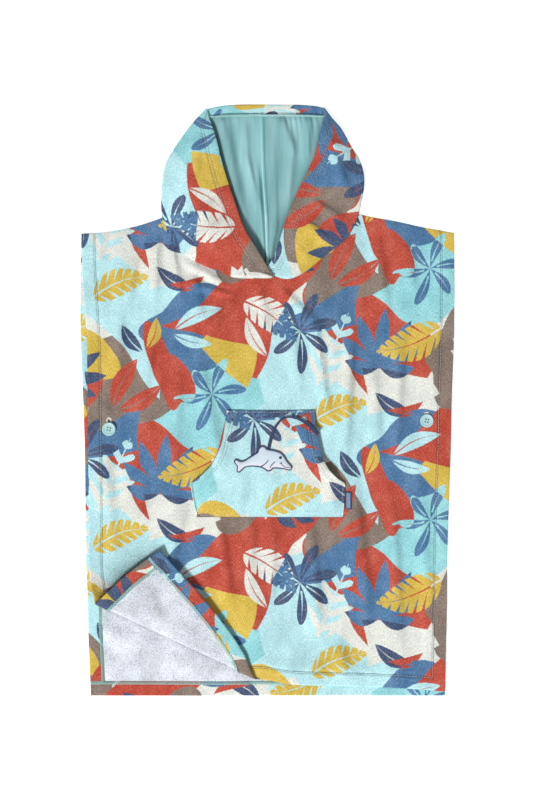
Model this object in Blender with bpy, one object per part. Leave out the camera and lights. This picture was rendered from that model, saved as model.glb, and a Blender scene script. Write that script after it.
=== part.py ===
"""Hooded bath poncho for a child, lying flat and face up on its back.

The body is two velour terry panels that lie on each other and are hemmed at the sides and the
bottom. The hood is two halves: each has a leaf on the ground behind the face opening, rolls over at
the outer side and comes back as a front leaf, whose hemmed edge runs down to the neck seam. The left
front leaf crosses over the right one. The lower left corner of the front panel is turned up.

+X is the right side, +Y runs from the hem to the hood, +Z is up. Sizes here are in millimetres and
go to metres when a mesh is made. The origin is on the ground, in the middle.
"""

import math

import bmesh
import bpy
import numpy as np

MM = 0.001

# Cloth
CLOTH = 1.8  # velour terry
HEM_FOLD = 1.2  # what a turned hem adds on the inner side
HEM_WIDTH = 20.0  # body hems
HOOD_HEM_WIDTH = 17.0
POCKET_HEM_WIDTH = 13.0
HEM_STEP = 1.5  # over which a hem's thickness ends
GAP = 0.3  # between neighbouring pieces
LINING = 1.0

# Heights of the cloth's middle
BACK_MID = CLOTH / 2
FRONT_MID = 3.2  # where the front panel lies on the back panel
HEM_RISE = 2.2  # how much higher the front lies where both panels are hemmed
HEM_SLOPE = 18.0  # over which the front comes down from its hems
HOOD_LIP = 5.6  # where the hood's lower edge lies on the front panel

HEM_LINES = (0.0, HEM_WIDTH - HEM_STEP, HEM_WIDTH, HEM_WIDTH + HEM_SLOPE)

# Body outline: the side edges (x at y) of the back and the front, which lies a little narrower.
BOTTOM_Y = -396.0
SIDE_LEFT_BACK = [(-388, -236.6), (-322, -239.3), (-268, -240.7), (-214, -242.8), (-134, -243.6),
                  (-67, -244.4), (7, -246.8), (80, -250.0), (147, -250.5), (223, -249.0)]
SIDE_LEFT_FRONT = [(-388, -231.4), (-360, -234.1), (-331, -234.9), (-304, -233.6), (-287, -232.3),
                   (-268, -231.0), (-246, -235.6), (-222, -238.2), (-190, -238.5), (-134, -238.6),
                   (0, -240.1), (74, -241.2), (121, -243.9), (174, -247.1), (223, -248.2)]
SIDE_RIGHT = [(-388, 238.3), (-335, 239.1), (-281, 240.4), (-214, 240.9), (-134, 243.1),
              (-67, 245.5), (0, 246.8), (74, 249.5), (147, 250.5), (223, 249.9)]
FRONT_HEM_LINE = [(-232, -388.4), (-185, -389.8), (-140, -390.8), (-105, -389.6), (-73, -387.2),
                  (-48, -383.2), (-31, -377.6), (-14, -373.2), (2, -374.6), (22, -378.4),
                  (42, -380.4), (73, -381.8), (126, -383.1), (185, -385.8), (238, -389.8)]  # y at x
SHOULDER_LEFT = [(-249.0, 222.6), (-217.3, 224.3), (-183.8, 230.6), (-157.0, 238.1), (-124.9, 247.4)]
CHEST_Y = 120.0  # above this the rows bend towards the neckline
SHOULDER_RIGHT = [(249.9, 223.4), (204.8, 232.0), (178.0, 238.1), (141.8, 244.6), (109.6, 248.7)]

# Broad soft ripples of the front panel: from x, y, to x, y, half width, height
RIPPLES = [
    (92, 120, 88, -150, 17, 3.0),
    (212, 95, 214, 0, 14, 2.5),
    (-25, -262, -6, -352, 22, 4.5),
    (-150, 60, -140, -60, 22, 2.0),
    (25, -330, 45, -376, 22, 3.0),
]

# The turned corner: the ends of its fold and the fold's radius there
FOLD_LEFT = np.array([-232.1, -269.2])
FOLD_RIGHT = np.array([-14.0, -372.0])
FOLD_RADIUS_LEFT = 6.5
FOLD_RADIUS_RIGHT = 3.2
FOLD_STRIPS = 6
FLAP_SETTLE = 0.5  # how much lower the turned corner's tip lies than its fold
FLAP_SETTLE_LENGTH = 80.0

# Hood: the line over which each half rolls, from the corner of the face opening round the outside to
# the shoulder ("side") and on along the neck seam ("neck"), and the front leaf's free edge ("edge").
# The other tables run along that line, by the fraction of it: how far the cloth goes back under the
# roll ("tail"), and the height of its middle under the roll ("low"), over it ("high") and at the edge.
HOOD_TOP_MIDDLE = (-2.9, 396.0)
HOOD_BACK_MIDDLE = (-0.3, 176.4)
HOOD_LEFT = {
    "side": [(-81.3, 389.4), (-97.2, 372.7), (-111.1, 354.6), (-125.0, 334.3), (-134.5, 317.7),
             (-139.4, 294.9), (-141.0, 268.1), (-139.9, 246.7)],
    "neck": [(-134.9, 233.3), (-130.2, 218.6), (-120.9, 204.5), (-107.5, 193.6), (-91.4, 183.7),
             (-71.6, 175.1), (-57.9, 169.2), (-41.8, 163.9), (-16.3, 162.8), (8.6, 163.2)],
    "edge": [(-79.4, 382.4), (-69.5, 354.3), (-58.3, 311.0), (-45.0, 269.7), (-30.0, 228.3),
             (-15.0, 203.8), (6.4, 167.6)],
    "inward": 1.0,
    "tail": [(0, 8.0), (0.38, 8.5), (0.47, 15.0), (0.54, 7.0), (0.62, 5.0), (1, 5.0)],
    "low": [(0, 0.9), (0.42, 0.9), (0.458, HOOD_LIP), (1, HOOD_LIP)],
    "high": [(0, 5.8), (0.1, 10.5), (0.36, 12.0), (0.5, 9.0), (0.74, 9.8), (0.88, 15.6), (0.93, 17.2),
             (1, 17.2)],
    "edge_high": [(0, 5.8), (0.08, 11.5), (0.2, 15.0), (0.7, 16.5), (0.88, 17.2), (1, 17.2)],
    "puff": 5.0,
}
HOOD_RIGHT = {
    "side": [(76.0, 391.0), (86.6, 376.6), (99.0, 361.9), (112.3, 338.6), (123.0, 321.1),
             (128.6, 301.6), (128.6, 282.9), (125.4, 265.5), (121.7, 248.7)],
    "neck": [(113.6, 229.3), (101.6, 212.5), (78.0, 194.7), (62.0, 180.5), (46.0, 169.0),
             (31.1, 162.9), (19.8, 163.1), (12.5, 165.6), (3.0, 166.6), (-5.6, 166.8)],
    "edge": [(76.1, 380.0), (64.1, 329.8), (52.7, 303.5), (30.2, 254.7), (11.4, 198.5),
             (-1.6, 174.3), (-4.4, 171.6)],
    "inward": -1.0,
    "tail": [(0, 8.0), (0.36, 8.5), (0.45, 12.5), (0.52, 7.0), (0.6, 5.0), (0.9, 5.0), (1, 2.6)],
    "low": [(0, 0.9), (0.438, 0.9), (0.477, HOOD_LIP), (0.88, HOOD_LIP), (0.93, 8.1), (1, 8.1)],
    "high": [(0, 5.8), (0.1, 10.5), (0.36, 12.0), (0.48, 9.0), (0.7, 9.8), (0.84, 13.0), (1, 12.9)],
    "edge_high": [(0, 5.8), (0.08, 11.5), (0.2, 15.0), (0.7, 15.0), (0.88, 13.2), (1, 12.9)],
    "puff": 5.0,
}
HOOD_SIDE_ROWS = 12
HOOD_NECK_ROWS = 14
HOOD_ROLL_STEPS = 6
HOOD_ROLL_DEPTH = 5.0  # the roll's half width, seen from above
HOOD_TIGHT = 0.3  # how much of that depth is left at the corner of the face opening
HOOD_TIGHT_PART = 0.1  # the part of the roll over which it gets its whole depth
HOOD_CORNER = 0.03  # the part of the roll over which it turns into the top edge
HOOD_HEM_ROW = 0.08  # the part of the leaf behind, from its top, that the hem takes
BEHIND_STEPS = np.array([0, 0.1, 0.22, 0.38, 0.58, 0.78, 1])  # across the leaf behind

# Pocket
POCKET_TOP_Y = -14.0
POCKET_BOTTOM_Y = -156.3
POCKET_LEFT = [(-156.3, -94.1), (-141.9, -97.4), (-127.0, -100.2), (-113.0, -102.6), (-110.5, -101.5),
               (-102.6, -90.0), (-87.0, -74.6), (-70.9, -66.5), (-51.5, -61.6), (-26.7, -55.9),
               (-14.0, -54.3)]  # x at y
POCKET_RIGHT = [(-156.3, 101.6), (-141.9, 102.6), (-127.0, 103.6), (-114.0, 104.5), (-111.0, 103.3),
                (-105.1, 94.3), (-93.7, 82.8), (-77.6, 73.2), (-51.5, 68.1), (-33.4, 64.7),
                (-14.0, 63.4)]
POCKET_CORNER_Y = -113.0  # the curved openings end here
POCKET_PUFF = 6.5
POCKET_LIFT = 5.0  # how far its curved edges stand off the front panel
POCKET_GAPE = (86.0, -96.0, 13.0, 5.0)  # where its right opening gapes: x, y, radius, height

# Trim
BUTTON_CENTRES = {"left": (-211.5, -38.7), "right": (213.3, -27.5)}
BUTTON_DIAMETER = 18.0
BUTTON_THICKNESS = 3.0
BUTTON_RIM = 2.2
BUTTON_DISH = 0.7
BUTTON_HOLE = 2.0
BUTTON_HOLE_SPACING = 3.5
BUTTON_TURN = -13.0  # of its holes, in degrees
BUTTON_SEGMENTS = 48
BUTTON_HOLE_SEGMENTS = 14
CHARM_THICKNESS = 2.6
RIBBON_WIDTHS = [(0, 4.8), (0.25, 4.2), (0.42, 2.4), (0.5, 2.3), (0.62, 3.4), (0.8, 4.6),
                 (1, 6.0)]  # by the part of its length; it is twisted where it is narrow
RIBBON_THICKNESS = 0.8
RIBBON_PATH = [(1.8, -65.0), (6.4, -46.8), (11.8, -34.7), (19.8, -26.0), (29.2, -22.6),
               (41.3, -24.7), (53.3, -31.4), (61.4, -38.7), (68.0, -45.4)]
LABEL_SIZE = (8.5, 22.8)
LABEL_THICKNESS = 1.0
LABEL_Y = -134.3
# A plain dolphin, from the notch of its tail along the back to the snout and back along the belly
DOLPHIN = [(-39.2, -87.2), (-42.6, -83.8), (-43.4, -80.8), (-41.0, -79.6), (-36.0, -81.8),
           (-30.5, -81.2), (-24.0, -77.2), (-17.0, -72.8), (-12.4, -69.6), (-10.6, -64.8),
           (-7.4, -61.9), (-3.6, -62.4), (-0.6, -65.4), (4.0, -66.6), (11.0, -67.8), (18.5, -71.0),
           (23.2, -76.4), (26.5, -82.0), (31.6, -87.8), (32.4, -91.0), (29.4, -92.8), (22.0, -91.2),
           (14.5, -90.4), (8.0, -90.6), (4.6, -93.4), (0.4, -94.2), (-3.0, -91.6), (-9.0, -88.9),
           (-16.0, -88.0), (-24.0, -87.8), (-30.0, -89.4), (-34.0, -93.0), (-37.2, -95.8),
           (-39.6, -95.0), (-39.6, -91.2)]

MATERIALS = {
    # name: colour, roughness
    "velour_print": ((0.48, 0.42, 0.33), 0.95),
    "teal_lining": ((0.22, 0.45, 0.44), 0.8),
    "mint_button": ((0.45, 0.68, 0.62), 0.35),
    "charm_felt": ((0.72, 0.76, 0.78), 0.9),
    "navy_ribbon": ((0.04, 0.09, 0.2), 0.7),
    "blue_label": ((0.09, 0.24, 0.5), 0.7),
}


# ---------------------------------------------------------------- curves


def smooth_dense(points, steps=12):
    """A Catmull-Rom curve through the points, with `steps` points from each one to the next."""
    p = np.asarray(points, float)
    p = np.vstack([2 * p[0] - p[1], p, 2 * p[-1] - p[-2]])
    t = (np.arange(steps) / steps)[:, None]
    pieces = []
    for a, b, c, d in zip(p[:-3], p[1:-2], p[2:-1], p[3:]):
        cubic = 3 * b - a - 3 * c + d
        pieces.append(0.5 * (2 * b + (c - a) * t + (2 * a - 5 * b + 4 * c - d) * t**2 + cubic * t**3))
    return np.vstack([*pieces, p[-2:-1]])


def spaced(line, fractions):
    """Points at these fractions of a line's length."""
    run = np.r_[0, np.cumsum(np.linalg.norm(np.diff(line, axis=0), axis=1))]
    at = np.asarray(fractions) * run[-1]
    return np.column_stack([np.interp(at, run, column) for column in line.T])


def length(line):
    return np.linalg.norm(np.diff(line, axis=0), axis=1).sum()


def smooth_interp(at, table):
    """A table's second column at values of its first, through a smooth curve."""
    dense = smooth_dense(table)
    return np.interp(at, dense[:, 0], dense[:, 1])


def table_interp(at, table):
    keys, values = np.transpose(table)
    return np.interp(at, keys, values)


def smoothstep(low, high, value):
    t = np.clip((value - low) / (high - low), 0, 1)
    return t * t * (3 - 2 * t)


# ---------------------------------------------------------------- meshes


def grid_faces(rows, columns, keep=None):
    """The quads of a grid of points, with only the cells where `keep` is true."""
    index = np.arange(rows * columns).reshape(rows, columns)
    quads = np.stack([index[:-1, :-1], index[:-1, 1:], index[1:, 1:], index[1:, :-1]], axis=-1)
    if keep is not None:
        return quads[keep].tolist()
    return quads.reshape(-1, 4).tolist()


def vertex_normals(points, faces):
    normals = np.zeros_like(points)
    for face in faces:
        spokes = points[face] - points[face].mean(axis=0)
        normals[face] += np.cross(spokes, np.roll(spokes, -1, axis=0)).sum(axis=0)
    return normals / np.maximum(np.linalg.norm(normals, axis=1, keepdims=True), 1e-9)


def border_edges(faces):
    """The edges that only one face has, in that face's direction."""
    directed = {(a, b) for face in faces for a, b in zip(face, face[1:] + face[:1])}
    return [(a, b) for a, b in directed if (b, a) not in directed]


def make_object(name, points, faces, material):
    """One object from points in millimetres, with its faces turned outward."""
    mesh = bpy.data.meshes.new(name)
    used = sorted({index for face in faces for index in face})
    renumber = {old: new for new, old in enumerate(used)}
    mesh.from_pydata((np.asarray(points)[used] * MM).tolist(), [],
                     [[renumber[index] for index in face] for face in faces])
    solid = bmesh.new()
    solid.from_mesh(mesh)
    bmesh.ops.triangulate(solid, faces=solid.faces)
    if solid.calc_volume(signed=True) < 0:
        bmesh.ops.reverse_faces(solid, faces=solid.faces)
    solid.to_mesh(mesh)
    solid.free()
    mesh.materials.append(bpy.data.materials[material])
    mesh.shade_smooth()
    mesh.set_sharp_from_angle(angle=math.radians(35))
    thing = bpy.data.objects.new(name, mesh)
    bpy.context.scene.collection.objects.link(thing)
    return thing


def cloth_wall(name, middle, faces, material, outer, inner):
    """A closed wall round a sheet: its middle surface moved out and in along its normals."""
    middle = np.asarray(middle, float)
    normals = vertex_normals(middle, faces)
    count = len(middle)
    outside = middle + normals * np.reshape(outer, (-1, 1))
    inside = middle - normals * np.reshape(inner, (-1, 1))
    walls = [[b, a, a + count, b + count] for a, b in border_edges(faces)]
    back = [[index + count for index in face[::-1]] for face in faces]
    return make_object(name, np.vstack([outside, inside]), faces + back + walls, material)


def half(count):
    return np.full(count, CLOTH / 2)


# ---------------------------------------------------------------- the body's outline


def hood_rows(spec):
    """Each row of a hood half: its points on the roll line and on the free edge, its inward
    direction, its fraction of the way along the roll line, and how far down the back it lies."""
    joined = spec["side"] + spec["neck"]
    dense = smooth_dense(joined)
    split = 12 * (len(spec["side"]) - 1)
    side, neck = dense[: split + 1], dense[split:]
    share = length(side) / length(dense)
    down = np.linspace(0, 1, HOOD_SIDE_ROWS + 1)
    down = np.sort(np.r_[down, HOOD_HEM_ROW - 0.004, HOOD_HEM_ROW + 0.004])
    down = np.delete(down, np.argmin(np.abs(down - 1 / HOOD_SIDE_ROWS)))
    across = np.linspace(0, 1, HOOD_NECK_ROWS + 1)[1:]
    fraction = np.r_[down * share, share + across * (1 - share)]
    roll = spaced(dense, fraction)
    edge = spaced(smooth_dense(spec["edge"]), fraction)
    ahead = spaced(dense, np.clip(fraction + 0.01, 0, 1))
    behind = spaced(dense, np.clip(fraction - 0.01, 0, 1))
    along = (ahead - behind) / np.linalg.norm(ahead - behind, axis=1, keepdims=True)
    inward = np.column_stack([-along[:, 1], along[:, 0]]) * spec["inward"]
    level = np.exp(-fraction / HOOD_CORNER)[:, None]
    inward = inward * (1 - level) + np.array([spec["inward"], 0.3]) * level
    inward /= np.linalg.norm(inward, axis=1, keepdims=True)
    return roll, edge, inward, fraction, np.r_[down, np.full(len(across), np.nan)]


def neck_line(spec):
    """The hood's lower edge, from the shoulder to where the fronts cross."""
    roll, _, inward, fraction, down = hood_rows(spec)
    tail = roll + inward * table_interp(fraction, spec["tail"])[:, None]
    return tail[HOOD_SIDE_ROWS + 1:]


def body_side(y, table):
    return smooth_interp(y, table)


def front_top_line():
    """The front panel's upper edge: shoulder, neckline, shoulder."""
    left, right = neck_line(HOOD_LEFT), neck_line(HOOD_RIGHT)
    right = right[right[:, 0] > left[-1, 0] + 4]
    line = np.vstack([smooth_dense(SHOULDER_LEFT[:-1] + [tuple(left[0])]), left[1:],
                      right[::-1][:-1], smooth_dense([tuple(right[0])] + SHOULDER_RIGHT[::-1][1:])])
    return line


def back_row(start, spec_middle, down, s):
    """A row of the hood's back leaf, from its roll to the middle seam. It is straight halfway down
    the hood, follows the top edge at the top and the neckline at the bottom."""
    power = 1 + 3 * (1 - down) ** 6 + down**4
    x = start[0] + (spec_middle[0] - start[0]) * s
    y = start[1] + (spec_middle[1] - start[1]) * (1 - (1 - s) ** power)
    return np.column_stack([x, y])


def back_top_line():
    """The back panel's upper edge: shoulder, back neckline GAP outside the hood, shoulder."""
    left, right = neck_line(HOOD_LEFT)[0], neck_line(HOOD_RIGHT)[0]
    neck_left = back_row(left, HOOD_BACK_MIDDLE, 1.0, BEHIND_STEPS) - [0, GAP]
    neck_right = back_row(right, HOOD_BACK_MIDDLE, 1.0, BEHIND_STEPS) - [0, GAP]
    neck = np.vstack([neck_left, neck_right[::-1][1:]])
    line = np.vstack([smooth_dense(SHOULDER_LEFT[:-1] + [tuple(left)]), neck[1:-1],
                      smooth_dense([tuple(right)] + SHOULDER_RIGHT[::-1][1:])])
    return line, neck[:, 0]


def increasing(line):
    """A line's y at x, for a line that never turns back."""
    x = np.maximum.accumulate(line[:, 0] + np.arange(len(line)) * 1e-6)
    return lambda at: np.interp(at, x, line[:, 1])


def body_grid(left_table, bottom_at, top_at, columns, rows):
    """The points of a body panel's grid. Its four outer columns on each side follow the hems. A row
    of kind "hem" lies that far above the lower edge, one of kind "level" at that height, and one of
    kind "top" at that part of the way from the chest to the shoulders and the neckline."""
    x = np.repeat(np.asarray(columns, float)[None, :], len(rows), axis=0)
    y = np.zeros_like(x)
    for _ in range(3):  # x and y depend on each other only a little, so this settles
        bottom, top = bottom_at(x), top_at(x)
        for r, (kind, value) in enumerate(rows):
            if kind == "hem":
                y[r] = bottom[r] + value
            elif kind == "level":
                y[r] = value
            else:
                y[r] = CHEST_Y + (top[r] - CHEST_Y) * value
        left = body_side(y, left_table)
        right = body_side(y, SIDE_RIGHT)
        for c in range(4):
            x[:, c] = left[:, c] + HEM_LINES[c]
            x[:, -1 - c] = right[:, -1 - c] - HEM_LINES[c]
    return np.stack([x, y], axis=-1)


def edge_distance(x, y, left_table, bottom_at):
    """How far a point lies from the nearest hemmed edge."""
    sides = np.minimum(x - body_side(y, left_table), body_side(y, SIDE_RIGHT) - x)
    return np.minimum(sides, y - bottom_at(x))


def hem_thickness(distance, width=HEM_WIDTH):
    return HEM_FOLD * (1 - np.clip((distance - width + HEM_STEP) / HEM_STEP, 0, 1))


def front_hem_at(x):
    return smooth_interp(x, FRONT_HEM_LINE)


def ripples(x, y):
    """Low ridges, highest on their own line and even all round its ends."""
    total = np.zeros_like(x)
    for x0, y0, x1, y1, width, height in RIPPLES:
        run = np.array([x1 - x0, y1 - y0], float)
        t = np.clip(((x - x0) * run[0] + (y - y0) * run[1]) / (run @ run), 0, 1)
        away = np.hypot(x - x0 - run[0] * t, y - y0 - run[1] * t)
        total += height * np.exp(-((away / width) ** 2))
    return total


def front_height(x, y):
    """The height of the front panel's middle: flat, higher at its hems, with soft ripples."""
    distance = edge_distance(x, y, SIDE_LEFT_FRONT, front_hem_at)
    hem = 1 - smoothstep(HEM_WIDTH + 1, HEM_WIDTH + HEM_SLOPE, distance)
    return FRONT_MID + HEM_RISE * hem + ripples(x, y)


# ---------------------------------------------------------------- the turned corner


def fold_frame():
    """The fold's direction, the way to the corner, its length and the line the cloth rises from."""
    run = FOLD_RIGHT - FOLD_LEFT
    total = np.linalg.norm(run)
    along = run / total
    out = np.array([along[1], -along[0]])
    return along, out, total


def fold_radius(along_fold):
    _, _, total = fold_frame()
    return FOLD_RADIUS_LEFT + (FOLD_RADIUS_RIGHT - FOLD_RADIUS_LEFT) * along_fold / total


def front_place(x, y):
    """Where a point of the flat front panel lies: beyond the fold the cloth rolls up round a cone
    and comes back above itself, upside down."""
    along, out, _ = fold_frame()
    from_left = np.column_stack([x, y]) - FOLD_LEFT
    run = from_left @ along
    radius = fold_radius(run)
    past = from_left @ out + radius
    angle = np.clip(past / radius, 0, math.pi)
    beyond = np.maximum(past - math.pi * radius, 0)
    shift = np.where(past > 0, radius * np.sin(angle) - beyond, past)
    place = FOLD_LEFT + along * run[:, None] + out * (shift - radius)[:, None]
    foot = FOLD_LEFT + along * run[:, None] - out * radius[:, None]
    base = np.where(past > 0, front_height(foot[:, 0], foot[:, 1]), front_height(x, y))
    settle = FLAP_SETTLE * smoothstep(0, FLAP_SETTLE_LENGTH, beyond)
    height = base + radius * (1 - np.cos(angle)) - settle
    return np.column_stack([place, height])


def cut_along_fold(points, faces):
    """Cuts the flat panel along the fold's strips, so that each strip bends only at its sides."""
    along, out, total = fold_frame()
    flat = bmesh.new()
    verts = [flat.verts.new((x, y, 0)) for x, y in points]
    for face in faces:
        flat.faces.new([verts[index] for index in face])
    for strip in range(FOLD_STRIPS + 1):
        reach = math.pi * strip / FOLD_STRIPS - 1
        start = FOLD_LEFT + out * FOLD_RADIUS_LEFT * reach
        end = FOLD_RIGHT + out * FOLD_RADIUS_RIGHT * reach
        normal = np.array([-(end - start)[1], (end - start)[0]])
        geometry = flat.verts[:] + flat.edges[:] + flat.faces[:]
        bmesh.ops.bisect_plane(flat, geom=geometry, dist=0.01, plane_co=(*start, 0),
                               plane_no=(*normal / np.linalg.norm(normal), 0))
    flat.verts.index_update()
    points = np.array([vert.co[:2] for vert in flat.verts])
    faces = [[vert.index for vert in face.verts] for face in flat.faces]
    flat.free()
    return points, faces


# ---------------------------------------------------------------- pieces


def build_back_panel():
    top_line, neck_columns = back_top_line()
    columns = [0, 0, 0, 0, -150, *neck_columns, 150, 0, 0, 0, 0]
    rows = [("hem", 0), ("hem", HEM_WIDTH - HEM_STEP), ("hem", HEM_WIDTH), ("level", -250),
            ("level", -100), ("level", 0), ("level", 120), ("top", 0.5), ("top", 1)]
    grid = body_grid(SIDE_LEFT_BACK, lambda x: np.full_like(x, BOTTOM_Y), increasing(top_line),
                     columns, rows)
    flat = grid.reshape(-1, 2)
    distance = edge_distance(flat[:, 0], flat[:, 1], SIDE_LEFT_BACK, lambda x: np.full_like(x, BOTTOM_Y))
    middle = np.column_stack([flat, np.full(len(flat), BACK_MID)])
    faces = grid_faces(*grid.shape[:2])
    inner_up = half(len(flat)) + hem_thickness(distance)
    cloth_wall("back_panel", middle, faces, "velour_print", outer=inner_up, inner=half(len(flat)))


def build_front_panel():
    columns = [0, 0, 0, 0, -175, -150, -124.7, -121, -105, -85, -65, -45, -25, -8, 8.6, 25, 45, 62, 76,
               90, 102, 109.4, 125, 150, 180, 0, 0, 0, 0]
    levels = [-310, -270, -230, -190, -150, -110, -70, -30, 10, 50, 85, 120]
    rows = [("hem", 0), ("hem", HEM_WIDTH - HEM_STEP), ("hem", HEM_WIDTH),
            ("hem", HEM_WIDTH + HEM_SLOPE), *[("level", y) for y in levels],
            ("top", 0.35), ("top", 0.7), ("top", 0.93), ("top", 1)]
    grid = body_grid(SIDE_LEFT_FRONT, front_hem_at, increasing(front_top_line()), columns, rows)
    points, faces = cut_along_fold(grid.reshape(-1, 2), grid_faces(*grid.shape[:2]))
    distance = edge_distance(points[:, 0], points[:, 1], SIDE_LEFT_FRONT, front_hem_at)
    middle = front_place(points[:, 0], points[:, 1])
    cloth_wall("front_panel", middle, faces, "velour_print", outer=half(len(points)),
               inner=half(len(points)) + hem_thickness(distance))


def hood_surface(spec):
    """The middle surface of a hood half as rows of points, from the front leaf's free edge over the
    roll to the middle seam behind, with each point's hem and the cells that are cloth."""
    roll, edge, inward, fraction, down = hood_rows(spec)
    low = table_interp(fraction, spec["low"])
    high = table_interp(fraction, spec["high"])
    edge_high = table_interp(fraction, spec["edge_high"])
    tail = table_interp(fraction, spec["tail"])
    depth = np.minimum(HOOD_ROLL_DEPTH, tail * 0.62)
    depth = depth * (HOOD_TIGHT + (1 - HOOD_TIGHT) * smoothstep(0, HOOD_TIGHT_PART, fraction))
    rows, hems = [], []
    for i in range(len(fraction)):
        start = roll[i] + inward[i] * depth[i]
        width = np.linalg.norm(edge[i] - start)
        hem = min(HOOD_HEM_WIDTH, 0.6 * width)
        step = min(HEM_STEP, 0.1 * width)
        inner = 1 - (hem + step) / width
        s = np.array([1, 1 - hem / width, inner, inner * 0.66, inner * 0.33, 0])
        leaf = start + (edge[i] - start) * s[:, None]
        full = smoothstep(0, 0.2, fraction[i]) * (1 - smoothstep(0.65, 0.88, fraction[i]))
        puff = spec["puff"] * np.sin(math.pi * s) * full
        leaf_z = high[i] + (edge_high[i] - high[i]) * s + puff
        angle = np.linspace(90, -90, HOOD_ROLL_STEPS + 1)[1:] * math.pi / 180
        bend = roll[i] + inward[i] * (depth[i] * (1 - np.cos(angle)))[:, None]
        bend_z = (high[i] + low[i]) / 2 + (high[i] - low[i]) / 2 * np.sin(angle)
        end = roll[i] + inward[i] * tail[i]
        if np.isnan(down[i]):
            count = len(BEHIND_STEPS)
            behind, behind_z = np.repeat(end[None], count, axis=0), np.full(count, low[i])
        else:
            middle = np.array(HOOD_TOP_MIDDLE) * (1 - down[i]) + np.array(HOOD_BACK_MIDDLE) * down[i]
            middle = middle - [spec["inward"] * GAP / 2, 0]
            behind = back_row(end, middle, down[i], BEHIND_STEPS)
            behind_z = low[i] + (BACK_MID - low[i]) * smoothstep(0, 0.22, BEHIND_STEPS)
        rows.append(np.column_stack([np.vstack([leaf, bend, behind]), np.r_[leaf_z, bend_z, behind_z]]))
        around = HEM_FOLD if down[i] < HOOD_HEM_ROW else 0.0
        hems.append(np.r_[HEM_FOLD, HEM_FOLD, np.full(len(rows[-1]) - 2, around)])
    surface = np.array(rows)
    cloth = np.ones((len(rows) - 1, surface.shape[1] - 1), bool)
    cloth[HOOD_SIDE_ROWS + 1:, 1 - len(BEHIND_STEPS):] = False
    return surface, np.array(hems), cloth


def build_hood(side, spec):
    surface, hems, cloth = hood_surface(spec)
    points = surface.reshape(-1, 3)
    faces = grid_faces(*surface.shape[:2], keep=cloth)
    if spec["inward"] < 0:
        faces = [face[::-1] for face in faces]
    cloth_wall(f"hood_{side}", points, faces, "velour_print", outer=half(len(points)),
               inner=half(len(points)) + hems.reshape(-1))


def build_lining(side, spec):
    """The lining lies on the hood's back leaf, from the hem at the top to the neckline."""
    surface, _, _ = hood_surface(spec)
    rows = slice(2, HOOD_SIDE_ROWS + 2)
    points = surface[rows, -len(BEHIND_STEPS):].copy()
    lift = CLOTH / 2 + GAP + LINING / 2
    points[..., 2] = np.maximum(points[..., 2], BACK_MID) + lift
    faces = grid_faces(*points.shape[:2])
    points = points.reshape(-1, 3)
    even = np.full(len(points), LINING / 2)
    cloth_wall(f"hood_lining_{side}", points, faces, "teal_lining", outer=even, inner=even)


def pocket_rise(x, y):
    """How far the pocket stands off the front panel: nothing along its sewn edges, more in the
    middle and most at its two curved openings."""
    left, right = pocket_edges(y)
    up = (y - POCKET_BOTTOM_Y) / (POCKET_TOP_Y - POCKET_BOTTOM_Y)
    inside = np.clip((x - left) / (right - left), 0, 1)
    puff = POCKET_PUFF * np.sin(math.pi * np.clip(up, 0, 1)) ** 0.7 * np.sin(math.pi * inside) ** 0.5
    near = np.exp(-((np.minimum(x - left, right - x) / 22) ** 2))
    low_end = smoothstep(POCKET_CORNER_Y, POCKET_CORNER_Y + 18, y)
    high_end = 1 - smoothstep(POCKET_TOP_Y - 31, POCKET_TOP_Y, y)
    hem_room = (HEM_FOLD + 0.1) * smoothstep(POCKET_CORNER_Y - 7, POCKET_CORNER_Y + 9, y)
    gape_x, gape_y, gape_radius, gape = POCKET_GAPE
    gape = gape * np.exp(-((x - gape_x) ** 2 + (y - gape_y) ** 2) / gape_radius**2)
    return puff + near * (POCKET_LIFT * low_end * high_end + hem_room) + gape * low_end


def pocket_edges(y):
    return table_interp(y, POCKET_LEFT), table_interp(y, POCKET_RIGHT)


def pocket_middle(x, y):
    return front_height(x, y) + CLOTH + GAP + 0.1 + pocket_rise(x, y)


def build_pocket():
    y = np.array([-156.3, -141.9, -127.0, -113.4, -110.5, -106.0, -102.6, -95.0, -87.0, -78.0, -70.9,
                  -61.0, -51.5, -39.0, -26.7, -14.0])
    left, right = pocket_edges(y)
    hem = POCKET_HEM_WIDTH
    fractions = np.linspace(0, 1, 9)
    rows = []
    for a, b in zip(left, right):
        inner = (a + hem) + (b - a - 2 * hem) * fractions
        rows.append(np.r_[a, a + hem - HEM_STEP, inner, b - hem + HEM_STEP, b])
    x = np.array(rows)
    y = np.repeat(y[:, None], x.shape[1], axis=1)
    distance = np.minimum(x - left[:, None], right[:, None] - x)
    thick = hem_thickness(distance, hem) * smoothstep(-113.2, -106.0, y)
    middle = np.stack([x, y, pocket_middle(x, y)], axis=-1)
    points = middle.reshape(-1, 3)
    cloth_wall("pouch_pocket", points, grid_faces(*x.shape), "velour_print", outer=half(len(points)),
               inner=half(len(points)) + thick.reshape(-1))


def front_top_at(x, y):
    return front_height(x, y) + CLOTH / 2


def pocket_top_at(x, y):
    return pocket_middle(x, y) + CLOTH / 2


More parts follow.
